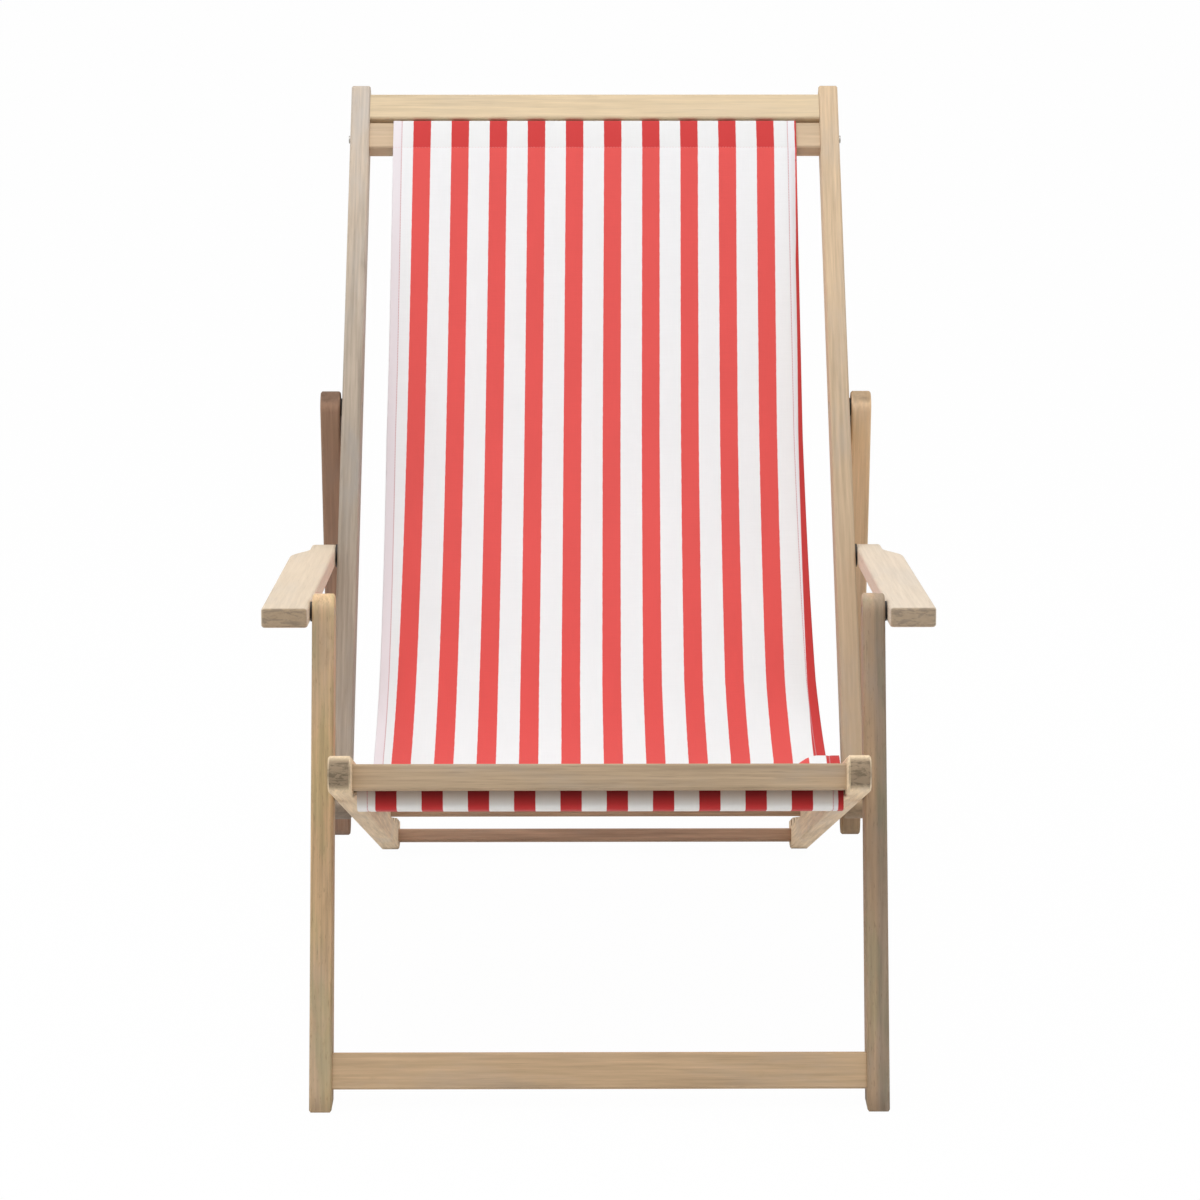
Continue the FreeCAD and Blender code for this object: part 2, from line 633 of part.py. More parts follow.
# Screws of the upper cloth bar, their heads proud of the back rails
spot_y = keep("cloth_screw_y", p2_y + cloth_a * back_sin - cloth_n * back_cos)
spot_z = keep("cloth_screw_z", p2_z + cloth_a * back_cos + cloth_n * back_sin)
screw_end = keep("screw_end", x_leg_in - q("screw_in"))
shank = cylinder("cloth_screw_shank", screw_end, x_leg_out, spot_y, spot_z, q("screw_dia") / 2)
cap_out = keep("screw_cap_out", x_leg_out + q("screw_head_thick"))
cap = cylinder("cloth_screw_cap", x_leg_out, cap_out, spot_y, spot_z, q("screw_head") / 2)
group("back_screws", [fuse("cloth_screw", [shank, cap])])
doc.recompute()


# Cloth: pockets round both cloth bars and the hanging sheet between them, as one thin strip
def seat_point(along, across):
    return (nose_y.value + along * seat_cos.value + across * seat_sin.value,
            nose_z.value - along * seat_sin.value + across * seat_cos.value)


def back_point(along, across):
    return (p2_y.value + along * back_sin.value - across * back_cos.value,
            p2_z.value + along * back_cos.value + across * back_sin.value)


clear = sizes["cloth_clear"] + sizes["cloth_thick"] / 2
hang_at = sizes["hang_bar_at"]
hang_half = sizes["hang_bar_deep"] / 2 + clear
hang_top = -sizes["hang_bar_drop"] + sizes["hang_bar_tall"] / 2 + clear
hang_low = -sizes["hang_bar_drop"] - sizes["hang_bar_tall"] / 2 - clear - sizes["pocket_hang"]
bar_half = sizes["cloth_bar_tall"] / 2 + clear
bar_front = cloth_n.value + sizes["cloth_bar_deep"] / 2 + clear
bar_rear = cloth_n.value - sizes["cloth_bar_deep"] / 2 - clear
bar_low = cloth_a.value - bar_half
bar_high = cloth_a.value + bar_half


# Rounded run of corners as straight stretches and arcs, sampled
def rounded(corners, radii, steps):
    points = [corners[0]]
    for before, corner, after, radius in zip(corners, corners[1:], corners[2:], radii):
        to_before = (before - corner).normalize()
        to_after = (after - corner).normalize()
        angle = to_before.getAngle(to_after)
        room = min((before - corner).Length, (after - corner).Length) / 2.05
        reach = min(radius / math.tan(angle / 2), room)
        start = corner + to_before * reach
        stop = corner + to_after * reach
        for i in range(steps + 1):
            u = i / steps
            points.append(start * (1 - u) ** 2 + corner * (2 * u * (1 - u)) + stop * u ** 2)
    points.append(corners[-1])
    return points


def vec(point):
    return Vec(0, point[0], point[1])


gap = sizes["cloth_thick"] + sizes["cloth_clear"] * 2
bar_round = sizes["edge_ease"] + clear
front_run = rounded([
    vec(seat_point(hang_at + hang_half, hang_top - gap)),
    vec(seat_point(hang_at + hang_half, hang_low)),
    vec(seat_point(hang_at - hang_half, hang_low)),
    vec(seat_point(hang_at - hang_half, hang_top)),
    vec(seat_point(hang_at + hang_half, hang_top))], (sizes["hem_round"], sizes["hem_round"], bar_round), 4)
back_run = rounded([
    vec(back_point(bar_low, bar_front)),
    vec(back_point(bar_high, bar_front)),
    vec(back_point(bar_high, bar_rear)),
    vec(back_point(bar_low, bar_rear)),
    vec(back_point(bar_low, bar_front - gap))], (bar_round, bar_round, bar_round), 4)
hang_points = [
    front_run[-1],
    vec(seat_point(sizes["dip_at"], -sizes["dip_low"])),
    vec(seat_point(sizes["low_at"], -sizes["low_drop"])),
    vec(seat_point(sizes["rise_at"], sizes["rise_high"])),
    vec(back_point(sizes["lean_at"], -sizes["lean_back"])),
    back_run[0]]
hang_curve = Part.BSplineCurve()
hang_curve.interpolate(hang_points)
hang_run = hang_curve.discretize(Number=61)
path = front_run[:-1] + hang_run + back_run[1:]


def offset_side(points, distance):
    side = []
    for i, point in enumerate(points):
        before = points[max(i - 1, 0)]
        after = points[min(i + 1, len(points) - 1)]
        along = (after - before).normalize()
        side.append(point + Vec(0, -along.z, along.y) * distance)
    return side


def thin_out(points, least):
    kept = [points[0]]
    for point in points[1:-1]:
        if (point - kept[-1]).Length > least:
            kept.append(point)
    kept.append(points[-1])
    return kept


path = thin_out(path, 0.8)
upper = offset_side(path, sizes["cloth_thick"] / 2)
lower = offset_side(path, -sizes["cloth_thick"] / 2)
rim = Part.makePolygon(upper + lower[::-1] + [upper[0]])
strip = Part.Face(rim)
strip.translate(Vec(-sizes["cloth_wide"] / 2, 0, 0))
cloth = doc.addObject("Part::Feature", "sling")
cloth.Label = "sling"
cloth.Shape = strip.extrude(Vec(sizes["cloth_wide"], 0, 0))
nodes.append(cloth)

# Checks, then one file for each node
doc.recompute()
for obj in doc.Objects:
    if "Invalid" in obj.State or "Error" in obj.State:
        raise RuntimeError("%s has state %s" % (obj.Label, obj.State))
os.makedirs("parts", exist_ok=True)
for node in nodes:
    if node.Shape.isNull() or not node.Shape.isValid():
        raise RuntimeError("shape of %s is not valid" % node.Label)
    node.Shape.exportStep("parts/%s.step" % node.Label)
print("nodes", len(nodes))
print("sheet length", round(hang_curve.length(), 1))
pivots = (("leg", p1_y, p1_z), ("back", p2_y, p2_z), ("arm front", p3_y, p3_z),
          ("arm rear", p4_y, p4_z), ("prop", p5_y, p5_z))
for label, y, z in pivots:
    print(label, "pivot", round(y.value, 4), round(z.value, 4))
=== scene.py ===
import json
import math
import bpy
import numpy as np
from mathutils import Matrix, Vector


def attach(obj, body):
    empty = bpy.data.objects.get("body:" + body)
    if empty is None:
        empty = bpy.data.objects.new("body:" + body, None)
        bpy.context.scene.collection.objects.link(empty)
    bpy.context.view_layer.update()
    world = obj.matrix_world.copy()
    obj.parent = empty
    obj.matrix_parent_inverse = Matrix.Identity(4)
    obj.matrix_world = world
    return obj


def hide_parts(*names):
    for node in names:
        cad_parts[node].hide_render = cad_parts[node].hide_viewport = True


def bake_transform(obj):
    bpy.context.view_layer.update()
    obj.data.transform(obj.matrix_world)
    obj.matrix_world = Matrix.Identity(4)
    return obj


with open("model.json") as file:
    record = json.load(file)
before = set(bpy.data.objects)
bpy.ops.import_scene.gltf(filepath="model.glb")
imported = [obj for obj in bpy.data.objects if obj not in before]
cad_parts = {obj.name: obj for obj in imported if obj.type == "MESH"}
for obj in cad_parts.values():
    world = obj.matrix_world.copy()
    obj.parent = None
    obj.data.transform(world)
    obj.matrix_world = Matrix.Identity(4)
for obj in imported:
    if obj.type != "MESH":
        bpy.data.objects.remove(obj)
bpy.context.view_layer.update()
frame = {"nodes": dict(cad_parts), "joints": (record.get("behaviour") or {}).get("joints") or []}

nodes = frame["nodes"]
scene = bpy.context.scene
print("frame:", len(nodes), "nodes")


def paint(red, green, blue):  # screen colour 0-255 to linear
    out = []
    for part in (red, green, blue):
        c = part / 255
        out.append(c / 12.92 if c <= 0.04045 else ((c + 0.055) / 1.055) ** 2.4)
    return (out[0], out[1], out[2], 1.0)


def shade(tone, share):  # the same tone, lighter or darker
    return [min(1.0, c * share) for c in tone[:3]] + [1]


def tinted(tone, shares):
    return [c * share for c, share in zip(tone, shares)] + [1]


# small helpers for shader trees
class Tree:
    def __init__(self, owner):
        owner.use_nodes = True
        self.owner = owner
        self.nodes = owner.node_tree.nodes
        self.links = owner.node_tree.links
        self.nodes.clear()

    def add(self, kind, **values):
        node = self.nodes.new(kind)
        for key, value in values.items():
            setattr(node, key, value)
        return node

    def join(self, source, target):
        self.links.new(source, target)

    def feed(self, socket, value):
        if hasattr(value, "is_output"):
            self.links.new(value, socket)
        else:
            socket.default_value = value

    def math(self, operation, a, b=0.0):
        node = self.add("ShaderNodeMath", operation=operation)
        for socket, value in zip(node.inputs, (a, b)):
            self.feed(socket, value)
        return node.outputs[0]

    def times(self, a, b):
        return self.math("MULTIPLY", a, b)

    def plus(self, a, b):
        return self.math("ADD", a, b)

    def minus(self, a, b):
        return self.math("SUBTRACT", a, b)

    def dot(self, a, b):
        node = self.add("ShaderNodeVectorMath", operation="DOT_PRODUCT")
        self.feed(node.inputs[0], a)
        self.feed(node.inputs[1], b)
        return node.outputs["Value"]

    def split(self, vector):
        node = self.add("ShaderNodeSeparateXYZ")
        self.join(vector, node.inputs[0])
        return node.outputs

    def ramp(self, value, low, high, toLow=0.0, toHigh=1.0, smooth=False):
        node = self.add("ShaderNodeMapRange", interpolation_type="SMOOTHSTEP" if smooth else "LINEAR")
        for socket, item in zip(node.inputs, (value, low, high, toLow, toHigh)):
            self.feed(socket, item)
        return node.outputs[0]

    def mix(self, share, a, b, blend="MIX"):
        node = self.add("ShaderNodeMix", data_type="RGBA", blend_type=blend)
        self.feed(node.inputs[0], share)
        self.feed(node.inputs[6], a)
        self.feed(node.inputs[7], b)
        return node.outputs[2]

    def gray(self, value):
        node = self.add("ShaderNodeCombineColor")
        for socket in node.inputs:
            self.feed(socket, value)
        return node.outputs[0]

    def noise(self, vector, scale, detail=2.0, rough=0.5, distort=0.0):
        node = self.add("ShaderNodeTexNoise")
        self.join(vector, node.inputs["Vector"])
        node.inputs["Scale"].default_value = scale
        node.inputs["Detail"].default_value = detail
        node.inputs["Roughness"].default_value = rough
        node.inputs["Distortion"].default_value = distort
        return node.outputs[0]

    def stretch(self, vector, scale, move=(0, 0, 0), turn=(0, 0, 0)):
        node = self.add("ShaderNodeMapping")
        self.join(vector, node.inputs["Vector"])
        node.inputs["Scale"].default_value = scale
        node.inputs["Location"].default_value = move
        node.inputs["Rotation"].default_value = turn
        return node.outputs[0]

    def streaks(self, vector, waves, detail, rough=0.5, distort=0.0):
        return self.noise(self.stretch(vector, waves), 1.0, detail, rough, distort)

    def bump(self, height, strength, distance, under=None):
        node = self.add("ShaderNodeBump")
        node.inputs["Strength"].default_value = strength
        node.inputs["Distance"].default_value = distance
        self.join(height, node.inputs["Height"])
        if under is not None:
            self.join(under, node.inputs["Normal"])
        return node.outputs[0]

    def surface(self, color, rough, normal=None, **plain):
        shader = self.add("ShaderNodeBsdfPrincipled")
        self.feed(shader.inputs["Base Color"], color)
        self.feed(shader.inputs["Roughness"], rough)
        if normal is not None:
            self.join(normal, shader.inputs["Normal"])
        for key, value in plain.items():
            shader.inputs[key.replace("_", " ")].default_value = value
        out = self.add("ShaderNodeOutputMaterial")
        self.join(shader.outputs[0], out.inputs[0])
        return self.owner


def newMaterial(name):
    return Tree(bpy.data.materials.new(name))


# camera at the photo's angle, worked out for a 1200 x 1200 picture
cameraSetup = {"place": (-0.0223, -4.250, 1.2638), "pitch": 11.366, "yaw": 0.347,
               "lens": 120.1, "sensor": 36.0}
cameraData = bpy.data.cameras.new("photoCamera")
cameraData.lens = cameraSetup["lens"]
cameraData.sensor_width = cameraSetup["sensor"]
camera = bpy.data.objects.new("photoCamera", cameraData)
camera.location = cameraSetup["place"]
camera.rotation_euler = (math.radians(90 - cameraSetup["pitch"]), 0, math.radians(-cameraSetup["yaw"]))
scene.collection.objects.link(camera)
scene.camera = camera
scene.view_settings.view_transform = "Standard"
print("camera: set")

# studio: white floor that keeps a faint shadow, light mostly from above and behind, dim towards the camera
studio = {"floorSize": 90.0, "floorDrop": 0.0004, "floorGlow": 0.98, "floorMatte": 0.86,
          "surround": 0.25, "surroundUp": 0.40, "surroundRear": 0.28, "lampAim": (0, 0, 0.45)}
lamps = {"overheadLamp": {"place": (-0.5, -1.1, 3.6), "size": 3.2, "power": 62.0},
         "rightLamp": {"place": (3.2, 0.2, 2.2), "size": 2.2, "power": 16.0},
         "leftLamp": {"place": (-3.2, -0.6, 2.0), "size": 2.2, "power": 16.0}}


def seenWhite(tree):  # 1 for what the camera, metal or glass sees
    path = tree.add("ShaderNodeLightPath").outputs
    seen = tree.math("MAXIMUM", path["Is Camera Ray"], path["Is Glossy Ray"])
    return tree.math("MAXIMUM", seen, path["Is Transmission Ray"])


def makeFloor():
    half = studio["floorSize"] / 2
    low = -studio["floorDrop"]
    mesh = bpy.data.meshes.new("floor")
    corners = [(x * half, y * half, low) for x, y in ((-1, -1), (1, -1), (1, 1), (-1, 1))]
    mesh.from_pydata(corners, [], [(0, 1, 2, 3)])
    floor = bpy.data.objects.new("floor", mesh)
    scene.collection.objects.link(floor)
    tree = newMaterial("floorWhite")
    matte = tree.add("ShaderNodeBsdfDiffuse")
    matte.inputs["Color"].default_value = [studio["floorMatte"]] * 3 + [1]
    glow = tree.add("ShaderNodeEmission")
    glow.inputs["Color"].default_value = (1, 1, 1, 1)
    blend = tree.add("ShaderNodeMixShader")
    tree.join(tree.times(seenWhite(tree), studio["floorGlow"]), blend.inputs[0])
    tree.join(matte.outputs[0], blend.inputs[1])
    tree.join(glow.outputs[0], blend.inputs[2])
    tree.join(blend.outputs[0], tree.add("ShaderNodeOutputMaterial").inputs[0])
    mesh.materials.append(tree.owner)


def makeSurround():
    tree = Tree(bpy.data.worlds.new("studioSurround"))
    scene.world = tree.owner
    way = tree.split(tree.add("ShaderNodeTexCoord").outputs["Generated"])
    up = tree.ramp(way[2], 0.0, 1.0, 0.0, studio["surroundUp"])
    rear = tree.ramp(way[1], -1.0, 1.0, 0.0, studio["surroundRear"])
    light = tree.plus(tree.plus(up, rear), studio["surround"])
    level = tree.ramp(seenWhite(tree), 0.0, 1.0, light, 1.0)
    back = tree.add("ShaderNodeBackground")
    tree.join(level, back.inputs["Strength"])
    back.inputs["Color"].default_value = (1, 1, 1, 1)
    tree.join(back.outputs[0], tree.add("ShaderNodeOutputWorld").inputs[0])


def makeLamp(name, look):
    data = bpy.data.lights.new(name, "AREA")
    data.size = look["size"]
    data.energy = look["power"]
    lamp = bpy.data.objects.new(name, data)
    lamp.location = look["place"]
    aim = Vector(studio["lampAim"]) - Vector(look["place"])
    lamp.rotation_euler = aim.to_track_quat("-Z", "Y").to_euler()
    scene.collection.objects.link(lamp)


makeFloor()
makeSurround()
for name, look in lamps.items():
    makeLamp(name, look)
print("studio:", len(lamps), "lamps")

# frames of the seat and the back, seen from the side: tilts in degrees, the length in metres
chair = {"seatTilt": 17.85, "backTilt": 39.5, "seatToBack": 0.424}
joints = {joint["name"]: joint for joint in frame["joints"]}
backPivot = np.array(joints["back_fold"]["pos_m"][1:])
seatTilt, backTilt = math.radians(chair["seatTilt"]), math.radians(chair["backTilt"])
seatAlong = np.array((math.cos(seatTilt), -math.sin(seatTilt)))
seatUp = np.array((-seatAlong[1], seatAlong[0]))
backAlong = np.array((math.sin(backTilt), math.cos(backTilt)))
backFront = np.array((-backAlong[1], backAlong[0]))
nose = backPivot - seatAlong * chair["seatToBack"]


def onSeat(along, across):  # millimetres from the nose of the rails
    return nose + seatAlong * along / 1000 + seatUp * across / 1000


def onBack(along, across):  # millimetres from the pivot of the back
    return backPivot + backAlong * along / 1000 + backFront * across / 1000


# weathered wood; each noise: waves in a metre along and across the grain, detail, roughness, distortion
woodNoise = {"slow": ((1.6, 14, 14), 2.0), "warp": ((5, 40, 40), 3.0), "pore": ((26, 900, 900), 2.0, 0.6),
             "fibre": ((9, 260, 260), 4.0, 0.62), "stain": ((7, 24, 24), 4.0, 0.6),
             "smudge": ((16, 60, 60), 5.0, 0.62), "patch": ((10, 45, 45), 4.0, 0.6),
             "fleck": ((90, 600, 600), 3.0, 0.65), "speckle": ((60, 70, 260), 4.0, 0.7, 0.6)}
woodLook = {"boardShift": (0.37, 0.53, 0.29), "pith": ((1, 0.17, 0.06), (2, 0.11, -0.03)),
            "ringStep": 0.0042, "ringDrift": 0.030, "ringWave": 0.0016, "ringPower": 3.0,
            "ringShow": 0.28, "ringSoft": 0.14, "poreShow": 0.34, "poreSoft": 0.16,
            "light": 1.12, "dark": 0.66, "dullMean": 0.60, "dullOwn": 0.32, "smudge": 0.22, "end": 0.6,
            "poreTone": 0.42, "smudgeTone": 0.45, "fleckTone": 0.5, "wornTone": 1.22,
            "sideWave": 0.006, "sideShow": 0.9, "sidePale": 0.2,
            "sideTint": (0.73, 0.80, 0.91, 1), "mossTint": (0.80, 0.92, 0.86, 1),
            "greyEnd": ((0.36, 0.34, 0.33), (0.19, 0.18, 0.17)),
            "warmEnd": ((0.50, 0.40, 0.29), (0.22, 0.17, 0.12)),
            "arris": 0.0016, "fibreRise": 0.5, "poreFall": 0.6, "ringFall": 0.2, "bump": (0.5, 0.0003)}
# where each mark sets in and where it is full, then its levels there
woodRamp = {"pore": (0.57, 0.74), "fibre": (0.3, 0.72), "slow": (0.36, 0.66, 0.0, 0.45),
            "stain": (0.45, 0.72), "smudge": (0.60, 0.78), "patch": (0.44, 0.64),
            "fleck": (0.58, 0.70, 0.0, 0.6), "speckle": (0.46, 0.60), "end": (0.40, 0.85),
            "arris": (0.995, 0.86), "worn": (0.35, 0.6, 0.15, 0.55), "rough": (0.3, 0.7, 0.82, 0.64)}


def boardPlace(tree, place, look, seed):  # x runs along the grain, each piece has its own board
    if look.get("along") != "X":
        place = tree.stretch(place, (1, 1, 1), turn=(math.radians(-look["turn"]), 0, 0))
        place = tree.stretch(place, (1, 1, 1), turn=(0, 0, math.radians(-90)))
    return tree.stretch(place, (1, 1, 1), move=[seed * shift for shift in woodLook["boardShift"]])


def lateWood(tree, grain, seed, slow, warp):  # the dark part of each ring, about a far pith
    parts = tree.split(grain)
    sides = [tree.plus(tree.math("FRACT", tree.plus(parts[axis], seed * shift)), away)
             for axis, shift, away in woodLook["pith"]]
    radius = tree.math("SQRT", tree.plus(*[tree.times(side, side) for side in sides]))
    radius = tree.plus(radius, tree.times(slow, woodLook["ringDrift"]))
    radius = tree.plus(radius, tree.times(warp, woodLook["ringWave"]))
    ring = tree.math("FRACT", tree.math("DIVIDE", radius, woodLook["ringStep"]))
    return tree.math("POWER", ring, woodLook["ringPower"])


def weather(tree, color, place, grain, warp, tone, look):  # marks that only some pieces have
    across, _, height = tree.split(place)
    if "side" in look:  # greyer towards one arris
        across = tree.plus(across, tree.times(tree.minus(warp, 0.5), woodLook["sideWave"]))
        share = tree.ramp(across, *look["side"], 0.0, woodLook["sideShow"], True)
        paler = tree.mix(woodLook["sidePale"], color, shade(tone, woodLook["light"]))
        color = tree.mix(share, paler, woodLook["sideTint"], "MULTIPLY")
    if "moss" in look:  # greenish mottling and short dark flecks
        patch = tree.streaks(grain, *woodNoise["patch"])
        patch = tree.ramp(patch, *woodRamp["patch"], 0.0, look["moss"], True)
        color = tree.mix(patch, color, woodLook["mossTint"], "MULTIPLY")
        fleck = tree.ramp(tree.streaks(grain, *woodNoise["fleck"]), *woodRamp["fleck"], True)
        color = tree.mix(fleck, color, shade(tone, woodLook["fleckTone"]))
    for low, high, under, over in look.get("pale", ()):  # levels by height: the back rails lighter towards the top as painted light, the other pieces lighter or darker at their given heights
        level = tree.ramp(height, low, high, under, over, True)
        color = tree.mix(1.0, color, tree.gray(level), "MULTIPLY")
    return color


def cutEnds(tree, color, normal, grain, tone, look):  # speckled end grain, and where it lies
    tilt = math.radians(look.get("turn", 0.0))
    way = (1, 0, 0) if look.get("along") == "X" else (0, math.cos(tilt), math.sin(tilt))
    facing = tree.math("ABSOLUTE", tree.dot(normal, way))
    share = tree.ramp(facing, *woodRamp["end"], 0.0, look.get("end", woodLook["end"]), True)
    speckle = tree.ramp(tree.streaks(grain, *woodNoise["speckle"]), *woodRamp["speckle"], smooth=True)
    pale, deep = woodLook["warmEnd" if look.get("warmEnd") else "greyEnd"]
    return tree.mix(share, color, tree.mix(speckle, tinted(tone, pale), tinted(tone, deep))), share


def makeWood(name, tone, seed, look):
    tree = newMaterial(name)
    coords = tree.add("ShaderNodeTexCoord").outputs
    grain = boardPlace(tree, coords["Object"], look, seed)
    slow, warp, pore, fibre, stain, smudge = [tree.streaks(grain, *woodNoise[kind]) for kind in
                                              ("slow", "warp", "pore", "fibre", "stain", "smudge")]
    late = lateWood(tree, grain, seed, slow, warp)
    pores = tree.ramp(pore, *woodRamp["pore"], smooth=True)
    calm = "Soft" if "streak" in look else "Show"
    light = shade(tone, woodLook["light"])
    dark = shade(tone, look.get("streak", woodLook["dark"]))
    mean = sum(tone[:3]) / 3
    dull = [mean * woodLook["dullMean"] + c * woodLook["dullOwn"] for c in tone[:3]] + [1]
    color = tree.mix(tree.ramp(fibre, *woodRamp["fibre"]), dark, light)
    color = tree.mix(tree.ramp(slow, *woodRamp["slow"], True), color, light)
    color = tree.mix(tree.times(late, woodLook["ring" + calm]), color, dark)
    color = tree.mix(tree.times(pores, woodLook["pore" + calm]), color, shade(tone, woodLook["poreTone"]))
    color = tree.mix(tree.ramp(stain, *woodRamp["stain"], 0.0, look["grey"], True), color, dull)
    smudged = tree.ramp(smudge, *woodRamp["smudge"], 0.0, look.get("smudge", woodLook["smudge"]), True)
    color = tree.mix(smudged, color, shade(tone, woodLook["smudgeTone"]))
    color = weather(tree, color, coords["Object"], grain, warp, tone, look)
    color, ended = cutEnds(tree, color, coords["Normal"], grain, tone, look)
    soft = tree.add("ShaderNodeBevel", samples=4)
    soft.inputs["Radius"].default_value = woodLook["arris"]
    facing = tree.dot(tree.add("ShaderNodeNewGeometry").outputs["Normal"], soft.outputs[0])
    wear = tree.times(tree.ramp(facing, *woodRamp["arris"]), tree.ramp(stain, *woodRamp["worn"]))
    wear = tree.times(wear, tree.minus(1.0, ended))
    color = tree.mix(wear, color, shade(tone, woodLook["wornTone"]))
    height = tree.minus(tree.times(fibre, woodLook["fibreRise"]), tree.times(pores, woodLook["poreFall"]))
    height = tree.minus(height, tree.times(late, woodLook["ringFall"]))
    normal = tree.bump(height, *woodLook["bump"], soft.outputs[0])
    return tree.surface(color, tree.ramp(fibre, *woodRamp["rough"]), normal, Specular_IOR_Level=0.3)


# every wooden piece: its own tone, grain direction and marks; pale holds heights with their levels, painted
# light on the back rails
woodPieces = {
    # the seat rails' own tones are raised a little, painted light for their undersides and inner faces
    "seat_rail_right": {"tone": (244, 218, 182), "turn": -17.85, "grey": 0.35, "end": 0.95, "smudge": 0.3},
    "seat_rail_left": {"tone": (234, 210, 175), "turn": -17.85, "grey": 0.35, "end": 0.95, "smudge": 0.3},
    "leg_right": {"tone": (172, 145, 117), "turn": 72.4, "grey": 0.55, "end": 0.0, "smudge": 0.5,
                  "moss": 0.8, "side": (0.2705, 0.2765),
                  "pale": ((0.0, 0.025, 0.76, 1.0), (0.10, 0.36, 1.13, 0.99), (0.462, 0.486, 1.0, 1.4))},
    "leg_left": {"tone": (206, 173, 133), "turn": 72.4, "grey": 0.3, "end": 0.0, "smudge": 0.38,
                 "moss": 0.8, "pale": ((0.0, 0.025, 0.76, 1.0), (0.462, 0.486, 1.0, 1.4))},
    "back_rail_right": {"tone": (202, 177, 146), "turn": 50.5, "grey": 0.35, "streak": 0.76,
                        "pale": ((0.3, 0.92, 0.84, 1.22),)},
    "back_rail_left": {"tone": (185, 169, 151), "turn": 50.5, "grey": 0.6, "smudge": 0.36,
                       "pale": ((0.5, 0.95, 0.88, 1.48),)},
    "prop_strut_right": {"tone": (214, 182, 143), "turn": -80.4, "grey": 0.25, "smudge": 0.34,
                         "streak": 0.74, "pale": ((0.10, 0.68, 0.55, 1.32),)},
    "prop_strut_left": {"tone": (159, 126, 103), "turn": -80.4, "grey": 0.35, "smudge": 0.4},
    "armrest_right": {"tone": (217, 202, 182), "turn": -3.3, "grey": 0.2, "end": 0.7, "smudge": 0.12,
                      "streak": 0.91, "warmEnd": True},
    "armrest_left": {"tone": (214, 197, 174), "turn": -3.3, "grey": 0.2, "end": 0.7, "smudge": 0.12,
                     "streak": 0.91, "warmEnd": True},
    "seat_front_bar": {"tone": (192, 167, 137), "along": "X", "grey": 0.4},
    "seat_cloth_bar": {"tone": (190, 160, 128), "along": "X", "grey": 0.3},
    "seat_rear_stretcher": {"tone": (192, 159, 132), "along": "X", "grey": 0.3, "smudge": 0.4},
    "leg_stretcher": {"tone": (204, 174, 138), "along": "X", "grey": 0.25, "streak": 0.76},
    "back_top_bar": {"tone": (220, 198, 164), "along": "X", "grey": 0.12, "smudge": 0.14, "streak": 0.80},
    "back_cloth_bar": {"tone": (205, 180, 150), "along": "X", "grey": 0.15, "smudge": 0.14, "streak": 0.80},
    "prop_bar": {"tone": (196, 161, 128), "along": "X", "grey": 0.25},
}
for count, (name, look) in enumerate(woodPieces.items()):
    material = makeWood("wood_" + name, paint(*look["tone"]), count + 1.0, look)
    mesh = nodes[name].data
    mesh.materials.clear()
    mesh.materials.append(material)
print("wood:", len(woodPieces), "pieces")


# bolts, nuts, screws and pins are zinc, washers are dark nylon; their dark tone is also painted shade for
# the gaps at the pivots
zincLook = {"tone": (178, 176, 172), "cloudWaves": 160.0, "cloud": (0.35, 0.7, 0.0, 0.5), "cloudTone": 0.6,
            "scratchWaves": (300, 2600, 2600), "rough": (0.3, 0.7, 0.3, 0.52), "bump": (0.15, 0.0001)}
nylonLook = {"tone": (46, 40, 36), "gritWaves": 1800.0, "grit": (0.4, 0.7, 0.0, 0.5), "gritTone": 1.7,
             "rough": (0.3, 0.7, 0.5, 0.75), "bump": (0.2, 0.0001)}


def makeSteel(name, look):
    tree = newMaterial(name)
    place = tree.add("ShaderNodeTexCoord").outputs["Object"]
    tone = paint(*look["tone"])
    scratch = tree.streaks(place, look["scratchWaves"], 3.0)
    cloud = tree.ramp(tree.noise(place, look["cloudWaves"], 3.0), *look["cloud"])
    color = tree.mix(cloud, tone, shade(tone, look["cloudTone"]))
    rough = tree.ramp(scratch, *look["rough"])
    return tree.surface(color, rough, tree.bump(scratch, *look["bump"]), Metallic=1.0)


def makeNylon(name, look):
    tree = newMaterial(name)
    place = tree.add("ShaderNodeTexCoord").outputs["Object"]
    tone = paint(*look["tone"])
    grit = tree.noise(place, look["gritWaves"], 3.0)
    color = tree.mix(tree.ramp(grit, *look["grit"]), tone, shade(tone, look["gritTone"]))
    return tree.surface(color, tree.ramp(grit, *look["rough"]), tree.bump(grit, *look["bump"]))


zinc = makeSteel("zincSteel", zincLook)
nylon = makeNylon("darkNylonGapShade", nylonLook)
for name, node in nodes.items():
    if name in woodPieces or name == "sling":
        continue
    node.data.materials.clear()
    node.data.materials.append(nylon if "washer" in name else zinc)
print("metal: set")

# striped cloth, in millimetres; share runs from 0 at the front bar to 1 at the bar of the back
# the second red is the cloth's red in painted shade
cloth = {"thick": 1.1, "clear": 0.9, "layerGap": 0.9, "pocketHang": 14.0, "lean": 4.2, "hem": 10.0,
         "tail": 15.0, "tailRound": 1.5, "hemRound": 6.0, "barRound": 2.6, "sideParts": 2.05,
         "hangSteps": 220, "cornerSteps": 6, "columns": 92, "columnsFrom": 18,
         "stripeStart": -211.4, "stripeStep": 44.36, "stripeRed": 20.8,
         "red": (233, 89, 85), "shadedRed": (204, 60, 59), "white": (244, 244, 245)}
clothBars = {"hangAt": 56.0, "hangDrop": 7.0, "hangTall": 18.0, "hangDeep": 22.0,
             "topAt": 851.0, "topFront": 15.0, "topTall": 35.0, "topDeep": 20.0}
# the hanging part passes through these, along and across the seat or the back
hangThrough = [("seat", 230, -19.5), ("seat", 312, -2), ("seat", 400, 44), ("back", 469, -40)]
# columns of the mesh in each hem, from the edge inwards
hemColumns = (0.0, 1.2, 3.0, 5.5, 8.0, 9.4, cloth["hem"], 10.6, 13.0)
